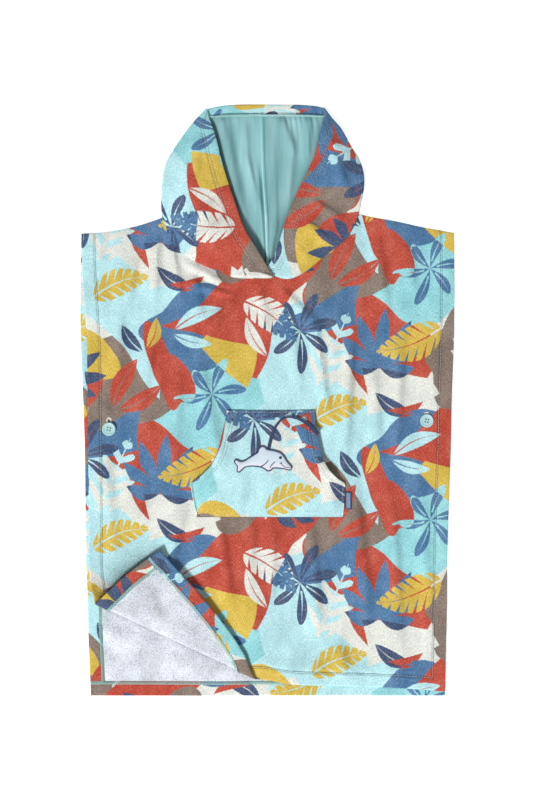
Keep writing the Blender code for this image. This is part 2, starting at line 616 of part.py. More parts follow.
def plate(name, outline, material, surface_at, thickness, spacing=8.0):
    """A thin plate of this outline that follows the surface under it, GAP above it."""
    outline = np.asarray(outline, float)
    flat = bmesh.new()
    flat.faces.new([flat.verts.new((x, y, 0)) for x, y in outline])
    low, high = outline.min(axis=0), outline.max(axis=0)
    for axis in range(2):
        for at in np.arange(low[axis] + spacing / 2, high[axis], spacing):
            geometry = flat.verts[:] + flat.edges[:] + flat.faces[:]
            point, normal = [0, 0, 0], [0, 0, 0]
            point[axis], normal[axis] = at, 1
            bmesh.ops.bisect_plane(flat, geom=geometry, dist=0.01, plane_co=point, plane_no=normal)
    bmesh.ops.triangulate(flat, faces=flat.faces)
    flat.verts.index_update()
    points = np.array([vert.co[:] for vert in flat.verts])
    faces = [[vert.index for vert in face.verts] for face in flat.faces]
    flat.free()
    under = surface_at(points[:, 0], points[:, 1]) + GAP + 0.1
    low_side, high_side = points.copy(), points.copy()
    low_side[:, 2] = under
    high_side[:, 2] = under + thickness
    count = len(points)
    walls = [[b, a, a + count, b + count] for a, b in border_edges(faces)]
    back = [[index + count for index in face[::-1]] for face in faces]
    make_object(name, np.vstack([high_side, low_side]), faces + back + walls, material)


def build_charm():
    outline = smooth_dense([*DOLPHIN, DOLPHIN[0]], steps=3)[:-1]
    plate("dolphin_charm", outline, "charm_felt", pocket_top_at, CHARM_THICKNESS)


def ribbon_outline():
    line = spaced(smooth_dense(RIBBON_PATH), np.linspace(0, 1, 17))
    along = np.gradient(line, axis=0)
    along /= np.linalg.norm(along, axis=1, keepdims=True)
    width = table_interp(np.linspace(0, 1, len(line)), RIBBON_WIDTHS)
    across = np.column_stack([-along[:, 1], along[:, 0]]) * width[:, None] / 2
    return np.vstack([line + across, (line - across)[::-1]])


def build_ribbon():
    """The ribbon lies on the pocket, from the dolphin up and round to its loose end."""
    plate("charm_ribbon", ribbon_outline(), "navy_ribbon", pocket_top_at, RIBBON_THICKNESS)


def build_label():
    wide, tall = LABEL_SIZE
    _, start = pocket_edges(np.array([LABEL_Y]))
    left = start[0] + 2 * GAP + 0.4
    low, high = LABEL_Y - tall / 2, LABEL_Y + tall / 2
    outline = [(left, low), (left + wide, low), (left + wide, high), (left, high)]
    plate("side_label", outline, "blue_label", front_top_at, LABEL_THICKNESS)


def build_button(side, centre):
    """A turned disc with a raised rim and four holes."""
    x, y = centre
    radius = BUTTON_DIAMETER / 2
    around = np.linspace(0, 2 * math.pi, 16)
    under = front_height(x + radius * np.cos(around), y + radius * np.sin(around))
    ground = under.max() + CLOTH / 2 + GAP + 0.1
    top = BUTTON_THICKNESS
    dish = top - BUTTON_DISH
    profile = [(radius - 1.0, 0), (radius, 1.0), (radius, top - 0.8), (radius - 0.8, top),
               (radius - BUTTON_RIM, top - 0.2), (radius - BUTTON_RIM - 0.8, dish)]  # radius, height
    segments = BUTTON_SEGMENTS
    turn = np.linspace(0, 2 * math.pi, segments, endpoint=False)
    circle = np.column_stack([np.cos(turn), np.sin(turn)])
    rings = [np.column_stack([circle * r, np.full(segments, z)]) for r, z in profile]
    points = np.vstack([[[0, 0, 0]], *rings, [[0, 0, dish]]])
    faces = [[0, 1 + (k + 1) % segments, 1 + k] for k in range(segments)]
    for ring in range(len(rings) - 1):
        base = 1 + ring * segments
        for k in range(segments):
            after = (k + 1) % segments
            above = base + segments
            faces.append([base + k, base + after, above + after, above + k])
    last, tip = 1 + (len(rings) - 1) * segments, len(points) - 1
    faces += [[tip, last + k, last + (k + 1) % segments] for k in range(segments)]
    button = make_object(f"button_{side}", points + [x, y, ground], faces, "mint_button")
    for k in range(4):
        reach = BUTTON_HOLE_SPACING / math.sqrt(2)
        turn = math.radians(BUTTON_TURN + 45 + 90 * k)
        middle = np.array([x + reach * math.cos(turn), y + reach * math.sin(turn), ground + top / 2]) * MM
        bpy.ops.mesh.primitive_cylinder_add(vertices=BUTTON_HOLE_SEGMENTS, radius=BUTTON_HOLE / 2 * MM,
                                            depth=4 * top * MM, location=middle)
        cutter = bpy.context.object
        cutter.name = f"button_{side}_hole_cutter_{k}"
        cutter.hide_render = True
        cutter.display_type = "WIRE"
        cut = button.modifiers.new(f"hole_{k}", "BOOLEAN")
        cut.operation = "DIFFERENCE"
        cut.object = cutter


def make_materials():
    for name, (colour, roughness) in MATERIALS.items():
        material = bpy.data.materials.new(name)
        material.use_nodes = True
        shader = material.node_tree.nodes["Principled BSDF"]
        shader.inputs["Base Color"].default_value = (*colour, 1)
        shader.inputs["Roughness"].default_value = roughness
        shader.inputs["Metallic"].default_value = 0.0


def main():
    for thing in list(bpy.data.objects):
        bpy.data.objects.remove(thing)
    make_materials()
    build_back_panel()
    build_front_panel()
    build_hood("left", HOOD_LEFT)
    build_hood("right", HOOD_RIGHT)
    build_lining("left", HOOD_LEFT)
    build_lining("right", HOOD_RIGHT)
    build_pocket()
    build_charm()
    build_ribbon()
    build_label()
    for side, centre in BUTTON_CENTRES.items():
        build_button(side, centre)


main()
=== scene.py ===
"""Looks of a child's hooded bath poncho that lies flat and face up.

Every cut piece is a dense closed wall of cloth on its solid's own form, with the creases, the turned
hems and the sewing that the plain solid leaves out. The printed velour, the looped terry inside and
the teal lining are node materials; the print is drawn on the cloth's flat cut, so that it turns over
with the hems and the folded corner.

+X is the right side, +Y runs from the hem to the hood, +Z is up. Sizes are in millimetres, and go to
metres when a mesh is made. Colours are given as display values and turned into linear ones.
"""

import math

import bpy
import numpy as np
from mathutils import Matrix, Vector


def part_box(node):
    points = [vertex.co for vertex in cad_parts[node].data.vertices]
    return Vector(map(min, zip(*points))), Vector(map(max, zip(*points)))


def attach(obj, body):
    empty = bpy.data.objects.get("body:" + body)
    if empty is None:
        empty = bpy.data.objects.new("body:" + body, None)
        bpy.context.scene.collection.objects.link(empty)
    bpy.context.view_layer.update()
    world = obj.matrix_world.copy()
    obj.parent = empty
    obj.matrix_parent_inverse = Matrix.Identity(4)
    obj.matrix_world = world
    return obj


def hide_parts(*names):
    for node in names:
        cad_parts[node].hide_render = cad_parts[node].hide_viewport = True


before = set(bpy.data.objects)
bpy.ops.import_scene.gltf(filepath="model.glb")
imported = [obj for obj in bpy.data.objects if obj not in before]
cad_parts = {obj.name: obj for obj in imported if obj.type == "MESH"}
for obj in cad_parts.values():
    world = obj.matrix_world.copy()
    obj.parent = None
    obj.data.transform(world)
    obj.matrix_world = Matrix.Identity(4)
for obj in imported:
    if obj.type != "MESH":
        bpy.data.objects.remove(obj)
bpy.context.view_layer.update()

MM = 0.001

# ---- sizes, as in the part's source

CLOTH = 1.8
HEM_FOLD = 1.2
HEM_WIDTH = 20.0
HOOD_HEM_WIDTH = 17.0
POCKET_HEM_WIDTH = 13.0
HEM_STEP = 1.5
GAP = 0.3
CLEAR = GAP + 0.1  # between a piece and the cloth that it lies on
LINING = 1.0
BACK_MID = CLOTH / 2
FRONT_MID = 3.2
HEM_RISE = 2.2
HEM_SLOPE = 18.0
HOOD_LIP = 5.6

BOTTOM_Y = -396.0
SIDE_LEFT_BACK = [(-388, -236.6), (-322, -239.3), (-268, -240.7), (-214, -242.8), (-134, -243.6),
                  (-67, -244.4), (7, -246.8), (80, -250.0), (147, -250.5), (223, -249.0)]  # x at y
SIDE_LEFT_FRONT = [(-388, -231.4), (-360, -234.1), (-331, -234.9), (-304, -233.6), (-287, -232.3),
                   (-268, -231.0), (-246, -235.6), (-222, -238.2), (-190, -238.5), (-134, -238.6),
                   (0, -240.1), (74, -241.2), (121, -243.9), (174, -247.1), (223, -248.2)]
SIDE_RIGHT = [(-388, 238.3), (-335, 239.1), (-281, 240.4), (-214, 240.9), (-134, 243.1),
              (-67, 245.5), (0, 246.8), (74, 249.5), (147, 250.5), (223, 249.9)]
FRONT_HEM_LINE = [(-232, -388.4), (-185, -389.8), (-140, -390.8), (-105, -389.6), (-73, -387.2),
                  (-48, -383.2), (-31, -377.6), (-14, -373.2), (2, -374.6), (22, -378.4),
                  (42, -380.4), (73, -381.8), (126, -383.1), (185, -385.8), (238, -389.8)]  # y at x
SHOULDER_LEFT = [(-249.0, 222.6), (-217.3, 224.3), (-183.8, 230.6), (-157.0, 238.1), (-124.9, 247.4)]
SHOULDER_RIGHT = [(249.9, 223.4), (204.8, 232.0), (178.0, 238.1), (141.8, 244.6), (109.6, 248.7)]
CHEST_Y = 120.0

# Broad soft ripples of the front panel: from x, y, to x, y, half width, height
RIPPLES = [
    (92, 120, 88, -150, 17, 3.0),
    (212, 95, 214, 0, 14, 2.5),
    (-25, -262, -6, -352, 22, 4.5),
    (-150, 60, -140, -60, 22, 2.0),
    (25, -330, 45, -376, 22, 3.0),
]

FOLD_LEFT = np.array([-232.1, -269.2])
FOLD_RIGHT = np.array([-14.0, -372.0])
FOLD_RADIUS_LEFT = 6.5
FOLD_RADIUS_RIGHT = 3.2
FLAP_SETTLE = 0.5
FLAP_SETTLE_LENGTH = 80.0
FLAP_CORNER = np.array([-144.0, -200.0])  # where the turned corner's own corner comes to lie

HOOD_TOP_MIDDLE = (-2.9, 396.0)
HOOD_BACK_MIDDLE = (-0.3, 176.4)
# Each half of the hood: its roll line is its side and its neck, and its edge is the front leaf's
# free one. By the share of the roll line: how far in the layer under it runs before it comes down to
# the back, and the heights of that layer, of the leaf at the roll and of the leaf's edge.
HOOD_LEFT = {
    "side": [(-81.3, 389.4), (-97.2, 372.7), (-111.1, 354.6), (-125.0, 334.3), (-134.5, 317.7),
             (-139.4, 294.9), (-141.0, 268.1), (-139.9, 246.7)],
    "neck": [(-134.9, 233.3), (-130.2, 218.6), (-120.9, 204.5), (-107.5, 193.6), (-91.4, 183.7),
             (-71.6, 175.1), (-57.9, 169.2), (-41.8, 163.9), (-16.3, 162.8), (8.6, 163.2)],
    "edge": [(-79.4, 382.4), (-69.5, 354.3), (-58.3, 311.0), (-45.0, 269.7), (-30.0, 228.3),
             (-15.0, 203.8), (6.4, 167.6)],
    "inward": 1.0,
    "tail": [(0, 8.0), (0.38, 8.5), (0.47, 15.0), (0.54, 7.0), (0.62, 5.0), (1, 5.0)],
    "low": [(0, 0.9), (0.42, 0.9), (0.458, HOOD_LIP), (1, HOOD_LIP)],
    "high": [(0, 5.8), (0.1, 10.5), (0.36, 12.0), (0.5, 9.0), (0.74, 9.8), (0.88, 15.6), (0.93, 17.2),
             (1, 17.2)],
    "edge_high": [(0, 5.8), (0.08, 11.5), (0.2, 15.0), (0.7, 16.5), (0.88, 17.2), (1, 17.2)],
    "cut_turn": 152.0,
    "cut_shift": (40.0, 20.0),
}
HOOD_RIGHT = {
    "side": [(76.0, 391.0), (86.6, 376.6), (99.0, 361.9), (112.3, 338.6), (123.0, 321.1),
             (128.6, 301.6), (128.6, 282.9), (125.4, 265.5), (121.7, 248.7)],
    "neck": [(113.6, 229.3), (101.6, 212.5), (78.0, 194.7), (62.0, 180.5), (46.0, 169.0),
             (31.1, 162.9), (19.8, 163.1), (12.5, 165.6), (3.0, 166.6), (-5.6, 166.8)],
    "edge": [(76.1, 380.0), (64.1, 329.8), (52.7, 303.5), (30.2, 254.7), (11.4, 198.5),
             (-1.6, 174.3), (-4.4, 171.6)],
    "inward": -1.0,
    "tail": [(0, 8.0), (0.36, 8.5), (0.45, 12.5), (0.52, 7.0), (0.6, 5.0), (0.9, 5.0), (1, 2.6)],
    "low": [(0, 0.9), (0.438, 0.9), (0.477, HOOD_LIP), (0.88, HOOD_LIP), (0.93, 8.1), (1, 8.1)],
    "high": [(0, 5.8), (0.1, 10.5), (0.36, 12.0), (0.48, 9.0), (0.7, 9.8), (0.84, 13.0), (1, 12.9)],
    "edge_high": [(0, 5.8), (0.08, 11.5), (0.2, 15.0), (0.7, 15.0), (0.88, 13.2), (1, 12.9)],
    "cut_turn": -148.0,
    "cut_shift": (10.0, 90.0),
}
HOOD_PUFF = 5.0  # how much higher the leaf stands halfway to its edge
HOOD_PUFFED = (0.2, 0.65, 0.88)  # shares of the roll line: all of it from, up to, and none from
HOOD_ROLL_DEPTH = 5.0  # from the roll line in to where the leaf starts
HOOD_ROLL_PART = 0.62  # the most of the tail that this takes
HOOD_TIGHT = 0.3  # what is left of it at the top corner
HOOD_TIGHT_PART = 0.1  # the share of the roll line over which it grows from there
HOOD_CORNER = 0.03  # the share over which the way in is level
HOOD_CORNER_RISE = 0.3
HOOD_HEM_ROW = 0.08  # the band above the lining, as a share of the hood's side

POCKET_TOP_Y = -14.0
POCKET_BOTTOM_Y = -156.3
POCKET_LEFT = [(-156.3, -94.1), (-141.9, -97.4), (-127.0, -100.2), (-113.0, -102.6), (-110.5, -101.5),
               (-102.6, -90.0), (-87.0, -74.6), (-70.9, -66.5), (-51.5, -61.6), (-26.7, -55.9),
               (-14.0, -54.3)]  # x at y
POCKET_RIGHT = [(-156.3, 101.6), (-141.9, 102.6), (-127.0, 103.6), (-114.0, 104.5), (-111.0, 103.3),
                (-105.1, 94.3), (-93.7, 82.8), (-77.6, 73.2), (-51.5, 68.1), (-33.4, 64.7),
                (-14.0, 63.4)]
POCKET_CORNER_Y = -113.0
POCKET_PUFF = 6.5
POCKET_LIFT = 5.0
POCKET_GAPE = (86.0, -96.0, 13.0, 5.0)  # of its right opening: x, y, radius, height

BUTTON_CENTRES = {"left": (-211.5, -38.7), "right": (213.3, -27.5)}
BUTTON_DISH = 2.3  # height of the dished middle over the button's underside
BUTTON_HOLE_SPACING = 3.5
BUTTON_HOLE_RADIUS = 1.0
BUTTON_TURN = -13.0
CHARM_THICKNESS = 2.6
RIBBON_WIDTHS = [(0, 4.8), (0.25, 4.2), (0.42, 2.4), (0.5, 2.3), (0.62, 3.4), (0.8, 4.6), (1, 6.0)]
RIBBON_THICKNESS = 0.8
RIBBON_PATH = [(1.8, -65.0), (6.4, -46.8), (11.8, -34.7), (19.8, -26.0), (29.2, -22.6),
               (41.3, -24.7), (53.3, -31.4), (61.4, -38.7), (68.0, -45.4)]
LABEL_SIZE = (8.5, 22.8)
LABEL_THICKNESS = 1.0
LABEL_Y = -134.3
DOLPHIN = [(-39.2, -87.2), (-42.6, -83.8), (-43.4, -80.8), (-41.0, -79.6), (-36.0, -81.8),
           (-30.5, -81.2), (-24.0, -77.2), (-17.0, -72.8), (-12.4, -69.6), (-10.6, -64.8),
           (-7.4, -61.9), (-3.6, -62.4), (-0.6, -65.4), (4.0, -66.6), (11.0, -67.8), (18.5, -71.0),
           (23.2, -76.4), (26.5, -82.0), (31.6, -87.8), (32.4, -91.0), (29.4, -92.8), (22.0, -91.2),
           (14.5, -90.4), (8.0, -90.6), (4.6, -93.4), (0.4, -94.2), (-3.0, -91.6), (-9.0, -88.9),
           (-16.0, -88.0), (-24.0, -87.8), (-30.0, -89.4), (-34.0, -93.0), (-37.2, -95.8),
           (-39.6, -95.0), (-39.6, -91.2)]

# ---- sizes of the finer form

ROUND = 1.9  # how far in from a folded edge the cloth reaches its full thickness
THIN = 0.05  # half the wall that is left at a rounded edge
STITCH_LINES = (16.2, 18.4)  # grooves, from the body's edges
STITCH_ROW = 17.3  # the cover stitches between them
HOOD_STITCH_LINES = (13.0, 16.6)
POCKET_STITCH_LINES = (7.5, 11.5)
POCKET_SEAM = 2.6  # from the pocket's sewn edges
STITCH_DEPTH = 0.65
STITCH_GROOVE = 0.62  # half width of the groove that a line of stitches draws
# How far from an edge the closer lines of a grid run
EDGE_STEPS = np.array([0, 0.12, 0.45, 1.0, 1.9, 3.6, 6.5, 10, 13, 15.2, 15.7, 16.2, 16.7, 17.3, 17.9,
                       18.4, 18.9, 19.5, 20, 20.7, 22, 24.5, 28, 33, 38])
HOOD_STEPS = np.array([0, 0.12, 0.45, 1.0, 1.9, 3.6, 6.5, 9.5, 12.2, 13.0, 13.8, 15.2, 15.9, 16.6, 17])
POCKET_STEPS = np.array([0, 0.12, 0.45, 1.0, 1.9, 3.4, 5.5, 6.8, 7.5, 8.2, 10.0, 10.9, 11.5, 12.1, 13.0])
CLOSE_STEPS = EDGE_STEPS[:6]  # those at the rounded edge itself
SEAM_STEPS = np.array([0, 0.12, 0.45, 1.0, 1.6, 2.1, 2.6, 3.1, 3.8, 5.0, 7.0])

# Creases: from x, y, to x, y, half width at the start, at the end, height. The same seven numbers
# make each row of the other tables of creases, and of TERRY_SHADES.
FRONT_CREASES = [
    (-62, 156, -106, 182, 4.5, 7, 3.8),
    (-56, 142, -112, 158, 4, 8, 4.0),
    (-44, 134, -72, 96, 4.5, 9, 3.8),
    (-96, 168, -90, 112, 5, 8, 4.2),
    (-125, 202, -118, 140, 4, 8, 4.6),
    (-145, 214, -151, 144, 4.5, 8, 4.8),
    (-90, 44, -66, -72, 8, 12, 4.2),
    (-66, 112, -98, 52, 6, 10, 3.8),
    (22, 146, 66, 100, 4.5, 9, 3.8),
    (-8, 148, -2, 92, 5, 9, 3.0),
    (66, 96, 80, -14, 5, 7, 5.0),
    (112, 74, 104, -66, 6, 9, 5.2),
    (142, 40, 148, -70, 7, 10, 3.4),
    (150, 200, 158, 118, 6, 10, 3.8),
    (186, 206, 196, 146, 6, 9, 3.4),
    (178, 64, 172, -62, 7, 10, 4.4),
    (-196, 124, -202, 18, 7, 10, 4.0),
    (-176, 194, -188, 122, 6, 9, 3.6),
    (-150, 96, -166, 6, 7, 10, 4.0),
    (-118, 20, -126, -96, 8, 11, 3.6),
    (-120, -108, -176, -170, 7, 11, 4.4),
    (-112, -150, -142, -254, 7, 12, 4.6),
    (-62, -176, -50, -270, 7, 10, 5.0),
    (-20, -172, -24, -236, 7, 9, 3.4),
    (8, -180, 4, -266, 7, 10, 4.0),
    (60, -176, 66, -304, 7, 11, 4.8),
    (118, -128, 132, -266, 8, 11, 5.0),
    (168, -150, 176, -334, 8, 11, 4.4),
    (206, -118, 214, -264, 7, 9, 3.4),
    (96, -330, 104, -380, 9, 13, 4.8),
    (160, -344, 166, -384, 8, 11, 3.8),
    (-214, -88, -206, -194, 6, 8, 3.4),
    (34, 92, 44, 4, 6, 9, 2.8),
]
HOOD_LEFT_CREASES = [
    (-72, 262, -104, 236, 5, 8, 4.4),
    (-64, 236, -96, 206, 4.5, 7, 4.0),
    (-92, 320, -104, 278, 6, 9, 3.6),
    (-46, 214, -72, 186, 4.5, 7, 3.2),
    (-86, 350, -96, 330, 5, 7, 2.6),
    (-104, 306, -122, 258, 5, 8, 3.4),
]
HOOD_RIGHT_CREASES = [
    (66, 262, 100, 240, 5, 8, 4.4),
    (58, 232, 86, 208, 4.5, 7, 3.8),
    (92, 322, 104, 286, 6, 8, 3.4),
    (82, 352, 94, 334, 5, 7, 2.4),
    (38, 208, 58, 184, 4.5, 7, 3.0),
    (100, 300, 116, 258, 5, 8, 3.2),
]
LINING_CREASES = [
    (-60, 376, -32, 244, 8, 9, 6.0),
    (-30, 372, -26, 318, 5, 6, 2.8),
    (-26, 322, -12, 262, 4.5, 5, 4.2),
    (-12, 302, -5, 206, 3.0, 3.2, 4.4),
    (20, 376, 34, 334, 6, 7, 4.8),
    (35, 344, 28, 268, 7, 7, 5.2),
    (8, 340, 12, 236, 6, 5, 2.6),
    (56, 376, 54, 322, 4, 6, 4.4),
    (12, 236, 5, 194, 3.5, 3, 3.0),
    (-84, 340, -62, 256, 8, 9, 4.6),
    (72, 340, 60, 268, 7, 9, 4.6),
]
LINING_GATHERS = [(16, 1.4), (22, 2.4), (29, 3.6), (36, 4.2), (43, 4.8), (50, 4.4), (57, 3.6),
                  (64, 3.0), (-18, 1.4), (-40, 2.2), (-52, 2.6), (-62, 2.4)]  # x, height of each
LINING_COLUMNS = 90
GATHER_LENGTH = 19.0
GATHER_WIDTH = 2.6
GATHER_SLANT = 0.12  # how far they run to the right for each step down
SEAM_PINCHES = [(2.6, 1.9), (1.2, 6.0)]  # of the lining's middle seam: height, half width
LINING_SEAM = [(176, 0.8), (190, 0.8), (243, 0.0), (302, -3.2), (350, -4.3), (396, -4.5)]  # bow, by y
LINING_SEAM_REACH = 24.0
POCKET_CREASES = [
    (-40, -30, -62, -86, 6, 9, 2.6),
    (48, -40, 72, -92, 6, 9, 2.6),
    (-70, -112, -92, -140, 8, 9, 2.2),
    (6, -104, 10, -146, 8, 10, 1.6),
    (78, -108, 90, -144, 7, 9, 2.0),
    (-30, -100, -34, -142, 7, 9, 1.4),
]
FLAP_CREASES = [  # in the panel's flat cut
    (-150, -330, -120, -372, 9, 12, -2.4),
    (-200, -352, -154, -328, 8, 11, -3.4),
    (-196, -300, -214, -352, 7, 10, 2.6),
    (-92, -348, -70, -380, 8, 10, 2.4),
    (-205, -365, -232, -384, 6, 7, 2.2),
    (-176, -350, -168, -384, 7, 9, 1.8),
]
TERRY_SHADES = [  # painted shade of soft troughs: on the turned corner, in its flat cut, and on the back beside it
    (-200, -351, -160, -333, 6, 9, 0.75),
    (-168, -330, -144, -358, 9, 12, 0.6),
    (-92, -340, -62, -356, 6, 8, 0.45),
]
BACK_CREASES = [
    (-214, -300, -150, -352, 9, 13, 2.6),
    (-196, -350, -120, -362, 8, 11, 2.0),
    (-140, -340, -60, -368, 8, 12, 1.8),
]
BANK = (1.5, 8.4, 2.6, 42.0)  # of the back under the fold: place, height, width inside, outside


# ---- curves


CURVE_STEPS = 12
CREASE_FLANKS = (0.75, 1.25)  # of the half width, on the left and on the right
CREASE_RISE = (-0.28, 0.22)  # shares of its length over which a crease comes up
CREASE_FADE = (0.7, 1.3)  # and fades out


def smooth_dense(points, steps=CURVE_STEPS):
    """A Catmull-Rom curve through the points, with `steps` points from each one to the next."""
    p = np.asarray(points, float)
    p = np.vstack([2 * p[0] - p[1], p, 2 * p[-1] - p[-2]])
    t = (np.arange(steps) / steps)[:, None]
    pieces = []
    for a, b, c, d in zip(p[:-3], p[1:-2], p[2:-1], p[3:]):
        cubic = 3 * b - a - 3 * c + d
        pieces.append(0.5 * (2 * b + (c - a) * t + (2 * a - 5 * b + 4 * c - d) * t**2 + cubic * t**3))
    return np.vstack([*pieces, p[-2:-1]])


def run_of(line):
    """The length along a line at each of its points."""
    return np.r_[0, np.cumsum(np.linalg.norm(np.diff(line, axis=0), axis=1))]


def along_run(at, run, values):
    """What goes with a line's points, a row of values for each, at these lengths along it."""
    return np.stack([np.interp(at, run, column) for column in values.T], axis=-1)


def spaced(line, fractions):
    """Points at these fractions of a line's length."""
    run = run_of(line)
    return along_run(np.asarray(fractions) * run[-1], run, line)


def unit(vectors):
    """Each vector divided by its length."""
    return vectors / np.maximum(np.linalg.norm(vectors, axis=-1, keepdims=True), 1e-9)


def table_interp(at, table):
    """A table's second column at values of its first, through straight lines."""
    keys, values = np.transpose(table)
    return np.interp(at, keys, values)


def smooth_interp(at, table):
    """A table's second column at values of its first, through a smooth curve."""
    dense = smooth_dense(table)
    return np.interp(at, dense[:, 0], dense[:, 1])


def smoothstep(low, high, value):
    """From 0 at the low value to 1 at the high one, level at both: t squared times (3 - 2 t)."""
    t = np.clip((value - low) / (high - low), 0, 1)
    return t * t * (3 - 2 * t)


def bell(value, width):
    """1 where the value is 0, falling to nothing a few widths away."""
    return np.exp(-((value / width) ** 2))


def creases(x, y, table):
    """Soft ridges and troughs: each is highest on its own line, fades out at both ends of it, and has
    a steeper left flank than right one. Its height is a bell of the distance across that line."""
    total = np.zeros_like(x)
    for x0, y0, x1, y1, start_width, end_width, height in table:
        run = np.array([x1 - x0, y1 - y0], float)
        length = np.hypot(*run)
        along = ((x - x0) * run[0] + (y - y0) * run[1]) / length
        across = ((y - y0) * run[0] - (x - x0) * run[1]) / length
        t = np.clip(along / length, 0, 1)
        width = start_width + (end_width - start_width) * t
        width = width * np.where(across > 0, *CREASE_FLANKS)
        fade = smoothstep(*CREASE_RISE, along / length) * (1 - smoothstep(*CREASE_FADE, along / length))
        total += height * fade * bell(across, width)
    return total


# ---- meshes


def grid_normals(points):
    """A grid's unit normals: the cross product of its column and row directions."""
    return unit(np.cross(np.gradient(points, axis=1), np.gradient(points, axis=0)))


def grid_quads(rows, columns):
    """The four corners of each cell of a grid, as numbers of its points."""
    index = np.arange(rows * columns).reshape(rows, columns)
    return np.stack([index[:-1, :-1], index[:-1, 1:], index[1:, 1:], index[1:, :-1]], axis=-1)


def placed(name, data):
    """A new object of these data in the scene, at the origin."""
    thing = bpy.data.objects.new(name, data)
    bpy.context.scene.collection.objects.link(thing)
    return thing


def new_piece(name, points, quads, materials, zones=None, cut=None, pressed=None, sharp=50):
    """An object from points in millimetres and quads, which are turned outward by the sign of the
    volume that they enclose. `cut` holds each point's place on the flat cut. The argument after it
    holds pressing and painted light, which the cloth's materials take off the colour: 1 where a line
    of stitches draws the pile down, with painted shade in its groove, more than 0 where other shade
    is painted, and less than 0 where a highlight is painted. An edge bent by more than `sharp`
    degrees isn't shaded smooth."""
    used, quads = np.unique(quads, return_inverse=True)
    quads = quads.reshape(-1, 4)
    points = points[used]
    corners = points[quads] - points.mean(axis=0)
    a, b, c, d = (corners[:, k] for k in range(4))
    volume = (a * (np.cross(b, c) + np.cross(c, d))).sum()
    if volume < 0:
        quads = quads[:, ::-1]
    mesh = bpy.data.meshes.new(name)
    mesh.from_pydata(points * MM, [], quads)
    for material in materials:
        mesh.materials.append(MATERIALS[material])
    if zones is not None:
        mesh.polygons.foreach_set("material_index", np.asarray(zones, np.int32))
    if cut is not None:
        place = np.column_stack([cut[used] * MM, np.zeros(len(used))])
        mesh.attributes.new("cut", "FLOAT_VECTOR", "POINT").data.foreach_set("vector", place.ravel())
    if pressed is not None:
        values = pressed[used].astype(np.float32)
        mesh.attributes.new("pressed", "FLOAT", "POINT").data.foreach_set("value", values)
    mesh.shade_smooth()
    mesh.set_sharp_from_angle(angle=math.radians(sharp))
    thing = placed(name, mesh)
    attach(thing, "root")
    return thing


# clip of the pressing and painted light that darkens or lightens the cloth's colour
PRESSED_AND_PAINTED_LIGHT_RANGE = (-1, 2)


def cloth_sheet(middle, outer, inner, **more):
    """A grid's middle points and normals, and how far the cloth reaches out and in from it."""
    return {"middle": middle, "normal": grid_normals(middle), "outer": outer, "inner": inner, **more}


def cloth_wall(name, sheet, materials, zones, cut, flip=False, keep=None):
    """A closed wall round a sheet. `zones` and `cut` are pairs, for the outer and the inner side: the
    number of a material for each cell, or one for all, and each point's place on the flat cut.
    `flip` turns the normals round, and `keep` says which cells are built."""
    middle, outer, inner = sheet["middle"], sheet["outer"], sheet["inner"]
    rows, columns = middle.shape[:2]
    if flip:
        sheet["normal"] = -sheet["normal"]
    normal = sheet["normal"]
    if keep is None:
        keep = np.ones((rows - 1, columns - 1), bool)
    quads = grid_quads(rows, columns)[keep]
    if flip:
        quads = quads[:, ::-1]
    count = rows * columns
    edges = np.concatenate([quads[:, [k, (k + 1) % 4]] for k in range(4)])
    alone = ~np.isin(edges[:, 0] * count + edges[:, 1], edges[:, 1] * count + edges[:, 0])
    a, b = edges[alone].T
    walls = np.column_stack([b, a, a + count, b + count])
    points = np.concatenate([(middle + normal * outer[..., None]).reshape(-1, 3),
                             (middle - normal * inner[..., None]).reshape(-1, 3)])
    cells = np.concatenate([quads, quads[:, ::-1] + count, walls])
    kinds = [np.broadcast_to(zone, keep.shape)[keep] for zone in zones]
    kinds = np.concatenate([*kinds, np.zeros(len(walls), int)])
    places = np.concatenate([cut[0].reshape(-1, 2), cut[1].reshape(-1, 2)])
    pressed = np.tile(np.clip(sheet.get("pressed", 0 * outer), *PRESSED_AND_PAINTED_LIGHT_RANGE).ravel(), 2)
    return new_piece(name, points, cells, materials, kinds, places, pressed)


def round_edge(distance, width=ROUND):
    """How much of the cloth's thickness is left near a folded edge: a quarter of an ellipse."""
    return np.sqrt(np.maximum(1 - (1 - np.clip(distance / width, 0, 1)) ** 2, 0))


def ring_quads(index):
    """The cells between rings of point numbers, whose last point meets the first."""
    after = np.roll(index, -1, axis=-1)
    low, high = index[..., :-1, :], index[..., 1:, :]
    return np.stack([low, after[..., :-1, :], after[..., 1:, :], high], axis=-1).reshape(-1, 4)


def thread_mesh(name, centre, up, radius, material, sides=4):
    """Short threads: a ring of `sides` points carried along each path of `centre`, closed at both
    ends by quads. The arrays run over thread, point and axis; `radius` over the points of a path."""
    count, steps = centre.shape[:2]
    along = unit(np.gradient(centre, axis=1))
    side = unit(np.cross(along, up))
    top = np.cross(side, along)
    turn = (np.arange(sides) + 0.5) / sides * 2 * math.pi
    ring = side[:, :, None] * np.cos(turn)[:, None] + top[:, :, None] * np.sin(turn)[:, None]
    points = centre[:, :, None] + ring * np.reshape(radius, (1, -1, 1, 1))
    index = np.arange(count * steps * sides).reshape(count, steps, sides)
    caps = []
    for k in range(0, sides - 2, 2):
        pick = [0, k + 1, k + 2, (k + 3) % sides]
        caps += [index[:, 0][:, pick][:, ::-1], index[:, -1][:, pick]]
    quads = np.concatenate([ring_quads(index), *caps])
    return new_piece(name, points.reshape(-1, 3), quads, [material], sharp=80)


STITCH_TAPER = np.array([0.55, 1, 1, 1, 0.55])  # of a thread's radius, along it
STITCH_START = 0.3  # of a pitch
STITCH_DIP = 0.3  # of the lift, by which a stitch's ends go in
SERGE_SLANT = 1.5  # of a pitch
SERGE_BOW = 0.9  # of a half turn


